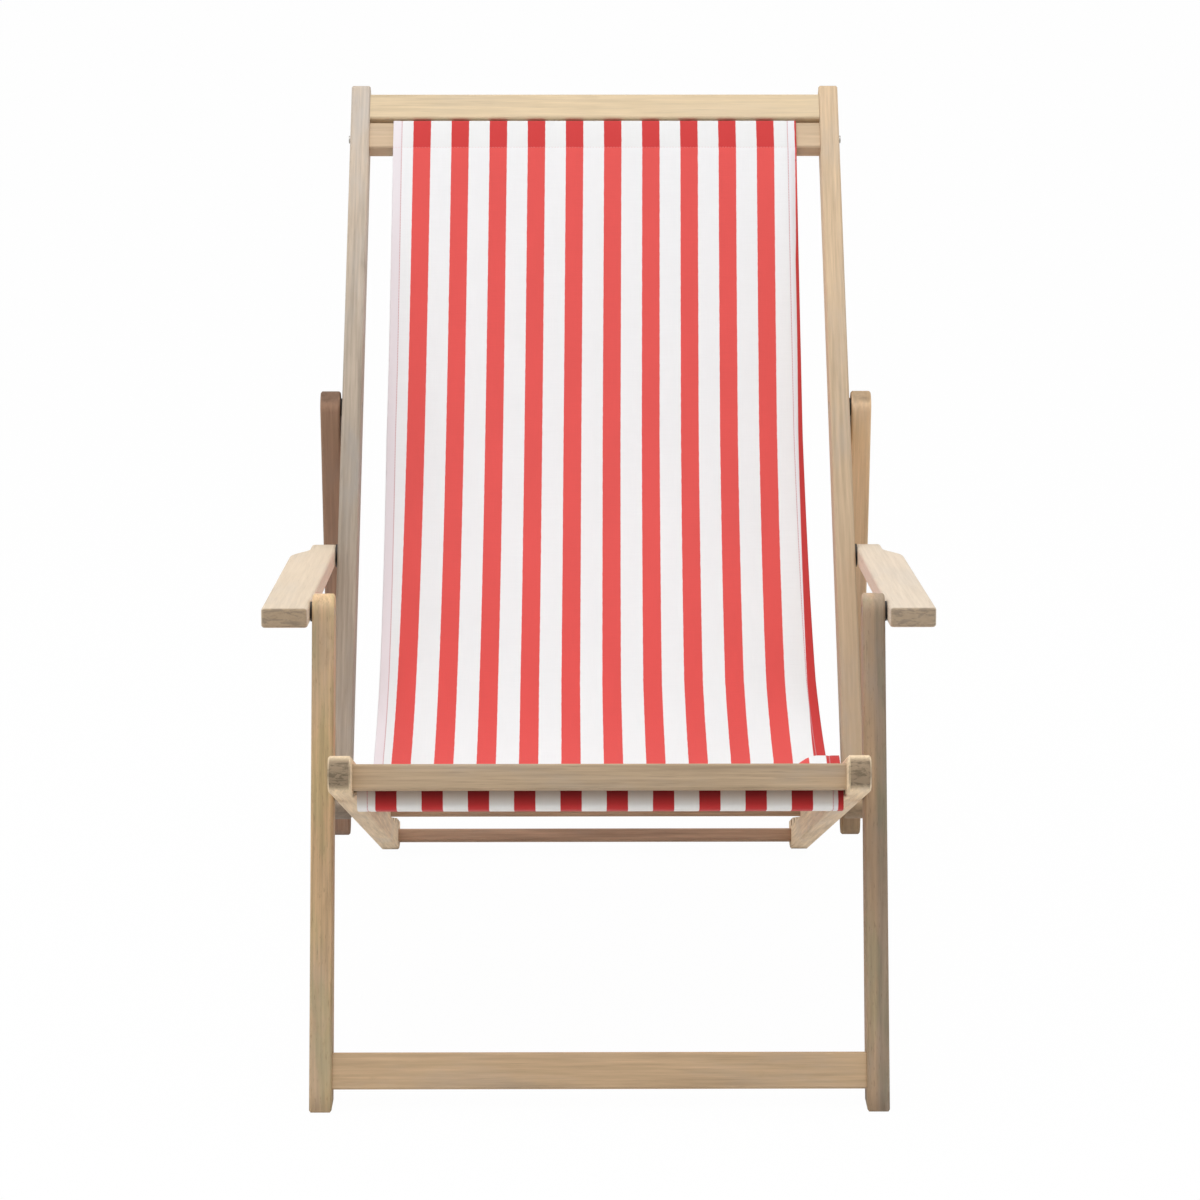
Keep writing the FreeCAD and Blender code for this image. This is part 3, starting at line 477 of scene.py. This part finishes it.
# both edges, the first stripe and the spread of the stripes along the cloth
clothCut = {"share": (-0.06, 0.0, 0.25, 0.30, 0.41, 0.69, 0.77, 1.0),
            "left": (-235.3, -236.0, -236.8, -237.4, -236.5, -236.7, -235.8, -234.5),
            "right": (237.4, 237.4, 237.4, 243.0, 238.5, 234.6, 234.8, 234.4),
            "stripe": (-217.9, -218.2, -218.8, -218.8, -217.4, -214.1, -213.4, -211.4),
            "spread": (1.0137, 1.014, 1.015, 1.0156, 1.006, 0.9994, 0.9998, 1.0)}
# how far the cloth stands off its side view, in millimetres
drape = {"edgeLift": 1.8, "edgeAt": 236, "edgePower": 6, "sag": 1.6, "sagWide": 480,
         "ripple": 0.7, "rippleAcross": 0.021, "rippleFrom": 1.0, "rippleAlong": 9, "rippleSlant": 0.004,
         "curl": 3.2, "curlWide": 9, "curlStart": (0.38, 0.6), "curlEnd": (0.985, 1.0),
         "seamPull": 0.35, "seamWide": 1.2,
         "fold": 29.0, "foldAcross": (165, 215), "foldAt": 30, "foldWide": 21}


def roundedRun(corners, radii):  # a rounding takes less than half of the shorter side
    points = [corners[0]]
    for before, corner, after, radius in zip(corners, corners[1:], corners[2:], radii):
        toBefore, toAfter = np.linalg.norm(before - corner), np.linalg.norm(after - corner)
        reach = min(radius / 1000, min(toBefore, toAfter) / cloth["sideParts"])
        first = corner + (before - corner) / toBefore * reach
        last = corner + (after - corner) / toAfter * reach
        for i in range(cloth["cornerSteps"] + 1):
            u = i / cloth["cornerSteps"]
            points.append(first * (1 - u) ** 2 + corner * 2 * u * (1 - u) + last * u ** 2)
    points.append(corners[-1])
    return points


def splineThrough(points, steps):  # natural cubic through the points, by chord length
    points = np.array(points)
    chord = np.r_[0, np.cumsum(np.linalg.norm(np.diff(points, axis=0), axis=1))]
    count = len(points)
    gaps = np.diff(chord)
    system = np.eye(count)
    right = np.zeros((count, 2))
    for i in range(1, count - 1):
        system[i, i - 1:i + 2] = gaps[i - 1], 2 * (gaps[i - 1] + gaps[i]), gaps[i]
        right[i] = 6 * ((points[i + 1] - points[i]) / gaps[i] - (points[i] - points[i - 1]) / gaps[i - 1])
    bend = np.linalg.solve(system, right)
    made = []
    for t in np.linspace(0, chord[-1], steps):
        i = min(np.searchsorted(chord, t, side="right") - 1, count - 2)
        a = (chord[i + 1] - t) / gaps[i]
        b = (t - chord[i]) / gaps[i]
        made.append(a * points[i] + b * points[i + 1]
                    + ((a ** 3 - a) * bend[i] + (b ** 3 - b) * bend[i + 1]) * gaps[i] ** 2 / 6)
    return made


def clothPath():  # side view of the cloth: front pocket, hanging part, pocket on the bar of the back
    clear = cloth["clear"] + cloth["thick"] / 2
    layer = cloth["thick"] + cloth["layerGap"]
    front = clothBars["hangAt"] - clothBars["hangDeep"] / 2 - clear
    front -= cloth["lean"]  # slack against the front bar
    rear = clothBars["hangAt"] + clothBars["hangDeep"] / 2 + clear
    top = -clothBars["hangDrop"] + clothBars["hangTall"] / 2 + clear
    low = -clothBars["hangDrop"] - clothBars["hangTall"] / 2 - clear - cloth["pocketHang"]
    barHalf = clothBars["topTall"] / 2 + clear
    barFront = clothBars["topFront"] + clear
    barRear = clothBars["topFront"] - clothBars["topDeep"] - clear
    barLow = clothBars["topAt"] - barHalf
    barHigh = clothBars["topAt"] + barHalf
    through = [onSeat(a, n) if which == "seat" else onBack(a, n) for which, a, n in hangThrough]
    hang = splineThrough([onSeat(rear, top)] + through + [onBack(barLow, barFront)], cloth["hangSteps"])
    # directions of the hanging part at its ends
    seatWay = (hang[3] - hang[0]) / np.linalg.norm(hang[3] - hang[0])
    backWay = (hang[-4] - hang[-1]) / np.linalg.norm(hang[-4] - hang[-1])
    seatTail = onSeat(rear, top - layer) + seatWay * cloth["tail"] / 1000  # ends sewn to the under side
    backTail = onBack(barLow, barFront - layer) + backWay * cloth["tail"] / 1000
    frontCorners = [seatTail, onSeat(rear, top - layer), onSeat(rear, low), onSeat(front, low),
                    onSeat(front, top), onSeat(rear, top)]
    backCorners = [onBack(barLow, barFront), onBack(barHigh, barFront), onBack(barHigh, barRear),
                   onBack(barLow, barRear), backTail]
    frontRound = [cloth[key] for key in ("tailRound", "hemRound", "hemRound", "barRound")]
    frontRun = roundedRun(frontCorners, frontRound)
    backRun = roundedRun(backCorners, [cloth["barRound"]] * 3)
    return frontRun[:-1] + hang + backRun[1:], len(frontRun) - 1, len(frontRun) - 1 + len(hang) - 1


def bell(value, middle, width):
    return math.exp(-((value - middle) / width) ** 2)


def step(value, low, high):
    t = min(1.0, max(0.0, (value - low) / (high - low)))
    return t * t * (3 - 2 * t)


def edgeColumns(width):  # closer columns in the hems
    inner = cloth["columnsFrom"]
    middle = np.linspace(inner, width - inner, cloth["columns"])
    return np.r_[hemColumns, middle, [width - gap for gap in reversed(hemColumns)]]


def clothLift(x, toLeft, right, share, seatRun):
    slack = math.sin(math.pi * share) if 0 < share < 1 else 0.0
    lift = drape["edgeLift"] * slack * (abs(x) / drape["edgeAt"]) ** drape["edgePower"]
    lift -= drape["sag"] * slack ** 2 * math.cos(math.pi * x / drape["sagWide"])
    lift += (drape["ripple"] * math.sin(x * drape["rippleAcross"] + drape["rippleFrom"])
             * math.sin(share * drape["rippleAlong"] + x * drape["rippleSlant"]) * slack)
    curl = drape["curl"] * step(x, right - drape["curlWide"], right) * step(share, *drape["curlStart"])
    lift -= curl * (1 - step(share, *drape["curlEnd"]))
    pulled = [bell(gap, cloth["hem"], drape["seamWide"]) for gap in (toLeft, right - x)]  # in by the seam
    lift -= drape["seamPull"] * sum(pulled)
    if slack > 0:  # crumpled right front corner
        folded = drape["fold"] * step(x, *drape["foldAcross"])
        lift += folded * bell(seatRun, drape["foldAt"], drape["foldWide"])
    return lift


def buildSling():
    path, seatEnd, backStart = clothPath()
    side = np.array(path)
    runs = np.r_[0, np.cumsum(np.linalg.norm(np.diff(side, axis=0), axis=1))]
    along = np.gradient(side, axis=0)
    along /= np.linalg.norm(along, axis=1)[:, None]
    across = np.c_[-along[:, 1], along[:, 0]]  # upper side of the cloth
    hangLength = runs[backStart] - runs[seatEnd]
    grid, stripes, edges = [], [], []
    for i, point in enumerate(side):
        share = (runs[i] - runs[seatEnd]) / hangLength
        left, right, stripe, spread = (np.interp(share, clothCut["share"], clothCut[key])
                                       for key in ("left", "right", "stripe", "spread"))
        seatRun = (runs[i] - runs[seatEnd]) * 1000
        for gap in edgeColumns(right - left):
            x = left + gap
            place = point + across[i] * clothLift(x, gap, right, share, seatRun) / 1000
            grid.append((x / 1000, place[0], place[1]))
            stripes.append(((cloth["stripeStart"] + (x - stripe) / spread) / 1000, runs[i]))
            edges.append((gap / 1000, (right - x) / 1000))
    rows = len(side)
    wide = len(grid) // rows
    faces = [(i * wide + k, i * wide + k + 1, (i + 1) * wide + k + 1, (i + 1) * wide + k)
             for i in range(rows - 1) for k in range(wide - 1)]
    mesh = bpy.data.meshes.new("slingCloth")
    mesh.from_pydata(grid, [], faces)
    for label, values in (("clothRun", stripes), ("clothEdge", edges)):
        layer = mesh.uv_layers.new(name=label)
        for loop in mesh.loops:
            layer.data[loop.index].uv = values[loop.vertex_index]
    mesh.polygons.foreach_set("use_smooth", [True] * len(mesh.polygons))
    piece = bpy.data.objects.new("slingCloth", mesh)
    scene.collection.objects.link(piece)
    return piece, np.array(grid).reshape(rows, wide, 3), runs, seatEnd, backStart


# look of the cloth: lengths in metres, red edge and lower part in shares of the hanging length
# tints come in pairs, for white and for red; the shaded red and the pocket, top, wrap and bar-shadow tints
# are painted shade
canvas = {"wobble": 0.0006, "wobbleWaves": (900, 120, 1), "stripeSoft": 0.012, "seamSoft": 0.0006,
          "hemSoft": 0.0003, "seamWide": (0.0009, 0.0003), "threadStep": 0.0011,
          "fadeWaves": (22, 9, 1), "fade": (0.35, 0.65, 0.0, 0.5), "fadeWhite": 0.97, "fadeRed": 0.92,
          "yarnWaves": ((1400, 30, 1), (30, 1400, 1)), "yarnTones": ((216, 214, 216), (196, 60, 60)),
          "yarn": (0.35, 0.65, 0.0, 0.14), "leftHem": (236, 227, 231), "rightHem": (236, 232, 238),
          "rightShow": 0.6, "seamTone": (206, 150, 158), "seamShow": 0.5, "pocketShadeShow": 0.9,
          "redEdge": ((0.28, 0.44, 0.0132, 0.0088, True), (0.44, 0.8, 0.0, -0.0048),
                      (0.88, 0.97, 0.0, -0.004)),
          "redFrom": (-0.030, -0.028), "wrapAt": (-0.026, -0.030), "barShadowLow": (-0.062, -0.045),
          "barShadowHigh": (-0.027, -0.033), "underTop": (-0.02, -0.15), "underTopShow": 0.85,
          "underLow": (0.04, 0.30), "underLowShow": 0.15, "lower": (0.62, 0.34),
          "weaveRise": 0.5, "rough": (0.3, 0.7, 0.95, 0.8), "bump": (0.35, 0.00025),
          "lowerTints": ((0.95, 0.97, 0.97, 1), (0.95, 0.83, 0.83, 1)),
          "topShadeTints": ((0.94, 0.94, 0.93, 1), (0.99, 0.89, 0.90, 1)),
          "wrapShadeTints": ((1.05, 1.02, 0.98, 1), (0.90, 0.68, 0.72, 1)),
          "barShadowTints": ((0.52, 0.43, 0.37, 1), (0.32, 0.09, 0.11, 1))}


def stripedYarn(tree, uv, u):  # the stripes' colour, where it is red, and the yarn
    wobble = tree.minus(tree.streaks(uv, canvas["wobbleWaves"], 1.0), 0.5)
    wobble = tree.times(wobble, canvas["wobble"])
    shift = tree.minus(tree.plus(u, wobble), cloth["stripeStart"] / 1000)
    turn = tree.math("FRACT", tree.math("DIVIDE", shift, cloth["stripeStep"] / 1000))
    duty, soft = cloth["stripeRed"] / cloth["stripeStep"], canvas["stripeSoft"]
    inRed = tree.times(tree.ramp(turn, 0.0, soft), tree.ramp(turn, duty, duty - soft))
    fade = tree.ramp(tree.streaks(uv, canvas["fadeWaves"], 3.0), *canvas["fade"])
    white, red = paint(*cloth["white"]), paint(*cloth["red"])
    fadedWhite = tree.mix(fade, white, shade(white, canvas["fadeWhite"]))
    fadedRed = tree.mix(fade, red, shade(red, canvas["fadeRed"]))
    color = tree.mix(inRed, fadedWhite, fadedRed)
    warp, weft = (tree.streaks(uv, waves, 2.0) for waves in canvas["yarnWaves"])
    yarn = tree.times(tree.plus(warp, weft), 0.5)
    yarnTone = tree.mix(inRed, *(paint(*tone) for tone in canvas["yarnTones"]))
    return tree.mix(tree.ramp(yarn, *canvas["yarn"]), color, yarnTone), inRed, yarn


def makeCanvas(runs, seatEnd, backStart):
    tree = newMaterial("stripedCanvas")
    uv = tree.add("ShaderNodeUVMap", uv_map="clothRun").outputs[0]
    u, v, _ = tree.split(uv)
    toLeft, toRight, _ = tree.split(tree.add("ShaderNodeUVMap", uv_map="clothEdge").outputs[0])
    start, end = runs[seatEnd], runs[backStart]
    reach = end - start
    shadedRed = paint(*cloth["shadedRed"])
    color, inStripe, yarn = stripedYarn(tree, uv, u)

    def run(origin, marks, *levels):  # ramp between two marks along the cloth
        return tree.ramp(v, origin + marks[0], origin + marks[1], *levels)

    def tinge(share, pair):  # one tint for the white, one for the red
        return tree.mix(share, color, tree.mix(inRed, *pair), "MULTIPLY")

    low, middle, high = (run(start, (first * reach, last * reach), *rest)
                         for first, last, *rest in canvas["redEdge"])
    edgeRed = tree.plus(low, tree.plus(middle, high))  # red edge of the right hem, wider low down
    bound = tree.ramp(tree.minus(toRight, edgeRed), canvas["hemSoft"], -canvas["hemSoft"])
    bound = tree.times(bound, run(start, canvas["redFrom"]))
    inRed = tree.math("MAXIMUM", inStripe, bound)
    # painted shade: the red edge of the right hem takes the shaded red
    color = tree.mix(bound, color, shadedRed)
    lower = [share * reach for share in canvas["lower"]]
    color = tinge(run(start, lower, 0.0, 1.0, True), canvas["lowerTints"])
    soft = canvas["seamSoft"]
    topPocket = run(end, (-soft, soft))
    # painted shade: the red of both pockets is darker where the cloth lies doubled
    pocketShade = tree.math("MAXIMUM", topPocket, run(start, (soft, -soft)))
    color = tree.mix(tree.times(tree.times(pocketShade, inRed), canvas["pocketShadeShow"]), color, shadedRed)
    # painted shade on the top pocket
    color = tinge(topPocket, canvas["topShadeTints"])
    # painted shade on the red of the front pocket's wall under the front bar, its white a little lighter as
    # painted light
    color = tinge(run(start, canvas["wrapAt"]), canvas["wrapShadeTints"])
    hem = cloth["hem"] / 1000
    hemEdge = hem + canvas["hemSoft"], hem - canvas["hemSoft"]
    leftHem, rightHem = (tree.ramp(gap, *hemEdge) for gap in (toLeft, toRight))
    # red turned under shows through the left hem
    under = tree.times(run(end, canvas["underTop"], canvas["underTopShow"], 1.0, True),
                       run(start, canvas["underLow"], canvas["underLowShow"], 1.0, True))
    color = tree.mix(tree.times(leftHem, under), color, paint(*canvas["leftHem"]))
    white = tree.times(tree.times(rightHem, tree.minus(1.0, inRed)), canvas["rightShow"])
    color = tree.mix(white, color, paint(*canvas["rightHem"]))
    seamGaps = [tree.math("ABSOLUTE", tree.minus(gap, hem)) for gap in (toLeft, toRight)]
    seam = tree.ramp(tree.math("MINIMUM", *seamGaps), *canvas["seamWide"], smooth=True)
    color = tree.mix(tree.times(seam, canvas["seamShow"]), color, paint(*canvas["seamTone"]))
    barShadow = tree.times(run(start, canvas["barShadowLow"], 0.0, 1.0, True), run(start, canvas["barShadowHigh"]))
    color = tinge(barShadow, canvas["barShadowTints"])  # painted shadow of the front bar on the front pocket's wall, darkest just below the bar
    threads = 2 * math.pi / canvas["threadStep"]
    weave = tree.times(*(tree.math("SINE", tree.times(way, threads)) for way in (u, v)))
    height = tree.minus(tree.plus(tree.times(weave, canvas["weaveRise"]), yarn), seam)
    return tree.surface(color, tree.ramp(yarn, *canvas["rough"]), tree.bump(height, *canvas["bump"]),
                        Specular_IOR_Level=0.2, Sheen_Weight=0.12, Sheen_Roughness=0.6)


def plainMesh(piece):  # what the modifiers give becomes the piece's own mesh
    depsgraph = bpy.context.evaluated_depsgraph_get()
    made = bpy.data.meshes.new_from_object(piece.evaluated_get(depsgraph))
    piece.modifiers.clear()
    piece.data = made


sling, clothGrid, clothRuns, seatEnd, backStart = buildSling()
sling.data.materials.append(makeCanvas(clothRuns, seatEnd, backStart))
solid = sling.modifiers.new("thickness", "SOLIDIFY")
solid.thickness = cloth["thick"] / 1000
solid.offset = 0.0
plainMesh(sling)


# geometry trees: named inputs, set by identifier, then made a plain mesh
class GeoTree:
    def __init__(self, name, inputs):
        self.group = bpy.data.node_groups.new(name, "GeometryNodeTree")
        face = self.group.interface
        face.new_socket("Points", in_out="INPUT", socket_type="NodeSocketGeometry")
        for label, (kind, value) in inputs.items():
            socket = face.new_socket(label, in_out="INPUT", socket_type="NodeSocket" + kind)
            if value is not None:
                socket.default_value = value
        face.new_socket("Made", in_out="OUTPUT", socket_type="NodeSocketGeometry")
        self.given = self.group.nodes.new("NodeGroupInput").outputs
        self.result = self.group.nodes.new("NodeGroupOutput")

    def add(self, kind, links=(), **values):
        node = self.group.nodes.new(kind)
        for key, value in values.items():
            setattr(node, key, value)
        for socket, value in dict(links).items():
            if hasattr(value, "is_output"):
                self.group.links.new(value, node.inputs[socket])
            else:
                node.inputs[socket].default_value = value
        return node

    def named(self, field):
        node = self.add("GeometryNodeInputNamedAttribute", {"Name": field}, data_type="FLOAT_VECTOR")
        return node.outputs[0]

    def swung(self, rotation, least, most):  # turned at random about its own z
        limits = {2: least, 3: most, "Seed": self.given["Seed"]}
        chance = self.add("FunctionNodeRandomValue", limits, data_type="FLOAT")
        yaw = self.add("ShaderNodeCombineXYZ", {2: chance.outputs[1]})
        turn = self.add("FunctionNodeEulerToRotation", {0: yaw.outputs[0]})
        both = {"Rotation": rotation, "Rotate By": turn.outputs[0]}
        return self.add("FunctionNodeRotateRotation", both, rotation_space="LOCAL").outputs[0]

    def close(self, points, instance, rotation):  # one on each point, made real, in its material
        placed = self.add("GeometryNodeInstanceOnPoints",
                          {"Points": points, "Instance": instance, "Rotation": rotation})
        real = self.add("GeometryNodeRealizeInstances", {0: placed.outputs[0]})
        tint = self.add("GeometryNodeSetMaterial", {0: real.outputs[0], "Material": self.given["Finish"]})
        self.group.links.new(tint.outputs[0], self.result.inputs[0])

    def run(self, piece, values):
        modifier = piece.modifiers.new("made", "NODES")
        modifier.node_group = self.group
        for item in self.group.interface.items_tree:
            if item.in_out == "INPUT" and item.name in values:
                modifier[item.identifier] = values[item.name]
        plainMesh(piece)


def pointPiece(name, lines, field):  # lines of points with a direction each
    mesh = bpy.data.meshes.new(name)
    verts, edges, ways = [], [], []
    for points, directions in lines:
        edges += [(len(verts) + i, len(verts) + i + 1) for i in range(len(points) - 1)]
        verts += [tuple(p) for p in points]
        ways += [tuple(d) for d in directions]
    mesh.from_pydata(verts, edges, [])
    store = mesh.attributes.new(field, "FLOAT_VECTOR", "POINT")
    store.data.foreach_set("vector", np.array(ways, dtype=float).ravel())
    piece = bpy.data.objects.new(name, mesh)
    scene.collection.objects.link(piece)
    return piece


# seams: both hems and the seam of each pocket, on both faces of the cloth
stitch = {"pitch": 0.0034, "length": 0.0026, "swing": 0.10, "seed": 7, "pocketIn": 0.0015,
          "hemThick": 0.0006, "hemThread": (220, 150, 156),
          "pocketThick": 0.0003, "pocketThread": (238, 176, 176),
          "twistWaves": 4200.0, "twist": (0.35, 0.65), "twistTone": 0.7, "rough": (0.3, 0.7, 0.7, 0.5),
          "bump": (0.3, 0.0001)}


def makeThread(name, tone):
    tree = newMaterial(name)
    place = tree.add("ShaderNodeTexCoord").outputs["Object"]
    twist = tree.noise(place, stitch["twistWaves"], 2.0)
    color = tree.mix(tree.ramp(twist, *stitch["twist"]), tone, shade(tone, stitch["twistTone"]))
    return tree.surface(color, tree.ramp(twist, *stitch["rough"]), tree.bump(twist, *stitch["bump"]))


def seamLines():
    rowWay = np.gradient(clothGrid, axis=0)
    columnWay = np.gradient(clothGrid, axis=1)
    normal = np.cross(columnWay, rowWay)
    normal /= np.linalg.norm(normal, axis=2)[:, :, None]
    hemColumn = hemColumns.index(cloth["hem"])
    seatRow = int(np.searchsorted(clothRuns, clothRuns[seatEnd] + stitch["pocketIn"]))
    backRow = int(np.searchsorted(clothRuns, clothRuns[backStart] - stitch["pocketIn"]))
    hems = [(slice(None), hemColumn), (slice(None), clothGrid.shape[1] - 1 - hemColumn)]
    pockets = [(seatRow, slice(None)), (backRow, slice(None))]
    reach = cloth["thick"] / 2000
    return [[(clothGrid[pick] + normal[pick] * reach * face, normal[pick] * face)
             for pick in picks for face in (1, -1)] for picks in (hems, pockets)]


def stitchRow():  # beads laid along a line, standing on the cloth
    tree = GeoTree("stitchRow", {"Pitch": ("Float", 0.003), "Length": ("Float", 0.002),
                                 "Thick": ("Float", 0.0005), "Swing": ("Float", 0.1),
                                 "Seed": ("Int", 0), "Finish": ("Material", None)})
    given = tree.given
    curve = tree.add("GeometryNodeMeshToCurve", {0: given["Points"]})
    spaced = {0: curve.outputs[0], "Length": given["Pitch"]}
    even = tree.add("GeometryNodeResampleCurve", spaced, mode="LENGTH")
    bead = tree.add("GeometryNodeMeshIcoSphere", {"Radius": 0.5, "Subdivisions": 1})
    size = tree.add("ShaderNodeCombineXYZ", {0: given["Length"], 1: given["Thick"], 2: given["Thick"]})
    shaped = tree.add("GeometryNodeTransform", {0: bead.outputs[0], "Scale": size.outputs[0]})
    tangent = tree.add("GeometryNodeInputTangent")
    lie = tree.add("FunctionNodeAlignRotationToVector", {"Vector": tangent.outputs[0]}, axis="X")
    upright = {"Rotation": lie.outputs[0], "Vector": tree.named("seamUp")}
    stand = tree.add("FunctionNodeAlignRotationToVector", upright, axis="Z", pivot_axis="X")
    least = tree.add("ShaderNodeMath", {0: given["Swing"], 1: -1.0}, operation="MULTIPLY")
    turned = tree.swung(stand.outputs[0], least.outputs[0], given["Swing"])
    tree.close(even.outputs[0], shaped.outputs[0], turned)
    return tree


stitchTree = stitchRow()
stitches = []
for name, lines in zip(("hem", "pocket"), seamLines()):
    row = pointPiece(name + "Stitches", lines, "seamUp")
    thread = makeThread(name + "Thread", paint(*stitch[name + "Thread"]))
    stitchTree.run(row, {"Pitch": stitch["pitch"], "Length": stitch["length"],
                         "Thick": stitch[name + "Thick"], "Swing": stitch["swing"],
                         "Seed": stitch["seed"], "Finish": thread})
    stitches.append(row)
for piece in [sling] + stitches:
    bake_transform(piece)
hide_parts("sling")
print("stitches:", sum(len(row.data.polygons) for row in stitches), "faces")

# heads of bolts and screws: a domed cap with a hex socket or a cross slot on each CAD head
caps = {"bolt": 0.0072, "screw": 0.0042, "near": 0.014, "rise": 0.16, "screwRise": 0.6, "around": 24,
        "hex": 0.42, "slot": 0.16, "slotEnd": 0.5, "deep": 0.25, "taper": 0.94, "turn": 1.0, "seed": 3,
        "dome": ((1.0, 0.0), (0.97, 0.34), (0.90, 0.60), (0.76, 0.82), (0.58, 0.95))}
capSpots = [("seat_pivot_bolts", "seat", ("leg_fold", "back_fold")),
            ("arm_front_bolts", "legs", ("arm_right_fold",)),
            ("prop_pivot_bolts", "back", ("prop_fold",)),
            ("back_screws", "back", (None,)),
            ("arm_rear_pin_right", "arm_right", (None,)),
            ("arm_rear_pin_left", "arm_left", (None,))]


def drive(angle, crossed):  # outline of the socket or slot, as a share of the radius
    if crossed:
        turn = (angle + math.pi / 4) % (math.pi / 2) - math.pi / 4
        sideways = max(abs(math.sin(turn)), 0.05)  # never 0
        return min(caps["slotEnd"] / math.cos(turn), caps["slot"] / sideways)
    turn = angle % (math.pi / 3) - math.pi / 6
    return caps["hex"] / math.cos(turn)


def capTemplate(name, radius, crossed):
    around = caps["around"]
    angles = [2 * math.pi * k / around for k in range(around)]
    rise = radius * caps["rise"] * (caps["screwRise"] if crossed else 1.0)
    rows = [[(share * radius, height * rise) for _ in angles] for share, height in caps["dome"]]
    rows.append([(drive(a, crossed) * radius, rise) for a in angles])
    rows.append([(drive(a, crossed) * radius * caps["taper"], rise * caps["deep"]) for a in angles])
    verts = [(r * math.cos(a), r * math.sin(a), h) for row in rows for a, (r, h) in zip(angles, row)]
    faces = []
    for i in range(len(rows) - 1):
        for k in range(around):
            n = (k + 1) % around
            faces.append((i * around + k, i * around + n, (i + 1) * around + n, (i + 1) * around + k))
    faces.append(tuple((len(rows) - 1) * around + k for k in range(around)))
    faces.append(tuple(reversed(range(around))))
    mesh = bpy.data.meshes.new(name)
    mesh.from_pydata(verts, [], faces)
    piece = bpy.data.objects.new(name, mesh)
    scene.collection.objects.link(piece)
    return piece


def capPlaces(node, pivots):  # the outer end of each head, read from the node's own mesh
    flat = np.empty(len(nodes[node].data.vertices) * 3)
    nodes[node].data.vertices.foreach_get("co", flat)
    points = flat.reshape(-1, 3)
    lines = []
    for pivot in pivots:
        for side in (1, -1):
            part = points[points[:, 0] * side > 0]
            if not len(part):
                continue
            if pivot:
                middle = np.array(joints[pivot]["pos_m"][1:])
                part = part[np.linalg.norm(part[:, 1:] - middle, axis=1) < caps["near"]]
            else:
                middle = (part[:, 1:].min(axis=0) + part[:, 1:].max(axis=0)) / 2
            lines.append(([(side * np.abs(part[:, 0]).max(), *middle)], [(side, 0, 0)]))
    return lines


def headCaps():
    tree = GeoTree("headCaps", {"Cap": ("Object", None), "Turn": ("Float", 0.4), "Seed": ("Int", 3),
                                "Finish": ("Material", None)})
    given = tree.given
    shape = tree.add("GeometryNodeObjectInfo", {"Object": given["Cap"]})
    facing = tree.add("FunctionNodeAlignRotationToVector", {"Vector": tree.named("capWay")}, axis="Z")
    turned = tree.swung(facing.outputs[0], 0.0, given["Turn"])
    tree.close(given["Points"], shape.outputs["Geometry"], turned)
    return tree


capTree = headCaps()
for node, body, pivots in capSpots:
    crossed = node == "back_screws"
    template = capTemplate(node + "Cap", caps["screw" if crossed else "bolt"], crossed)
    heads = pointPiece(node + "Heads", capPlaces(node, pivots), "capWay")
    capTree.run(heads, {"Cap": template, "Turn": caps["turn"], "Seed": caps["seed"], "Finish": zinc})
    bpy.data.objects.remove(template)
    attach(heads, body)
print("heads:", len(capSpots), "groups")
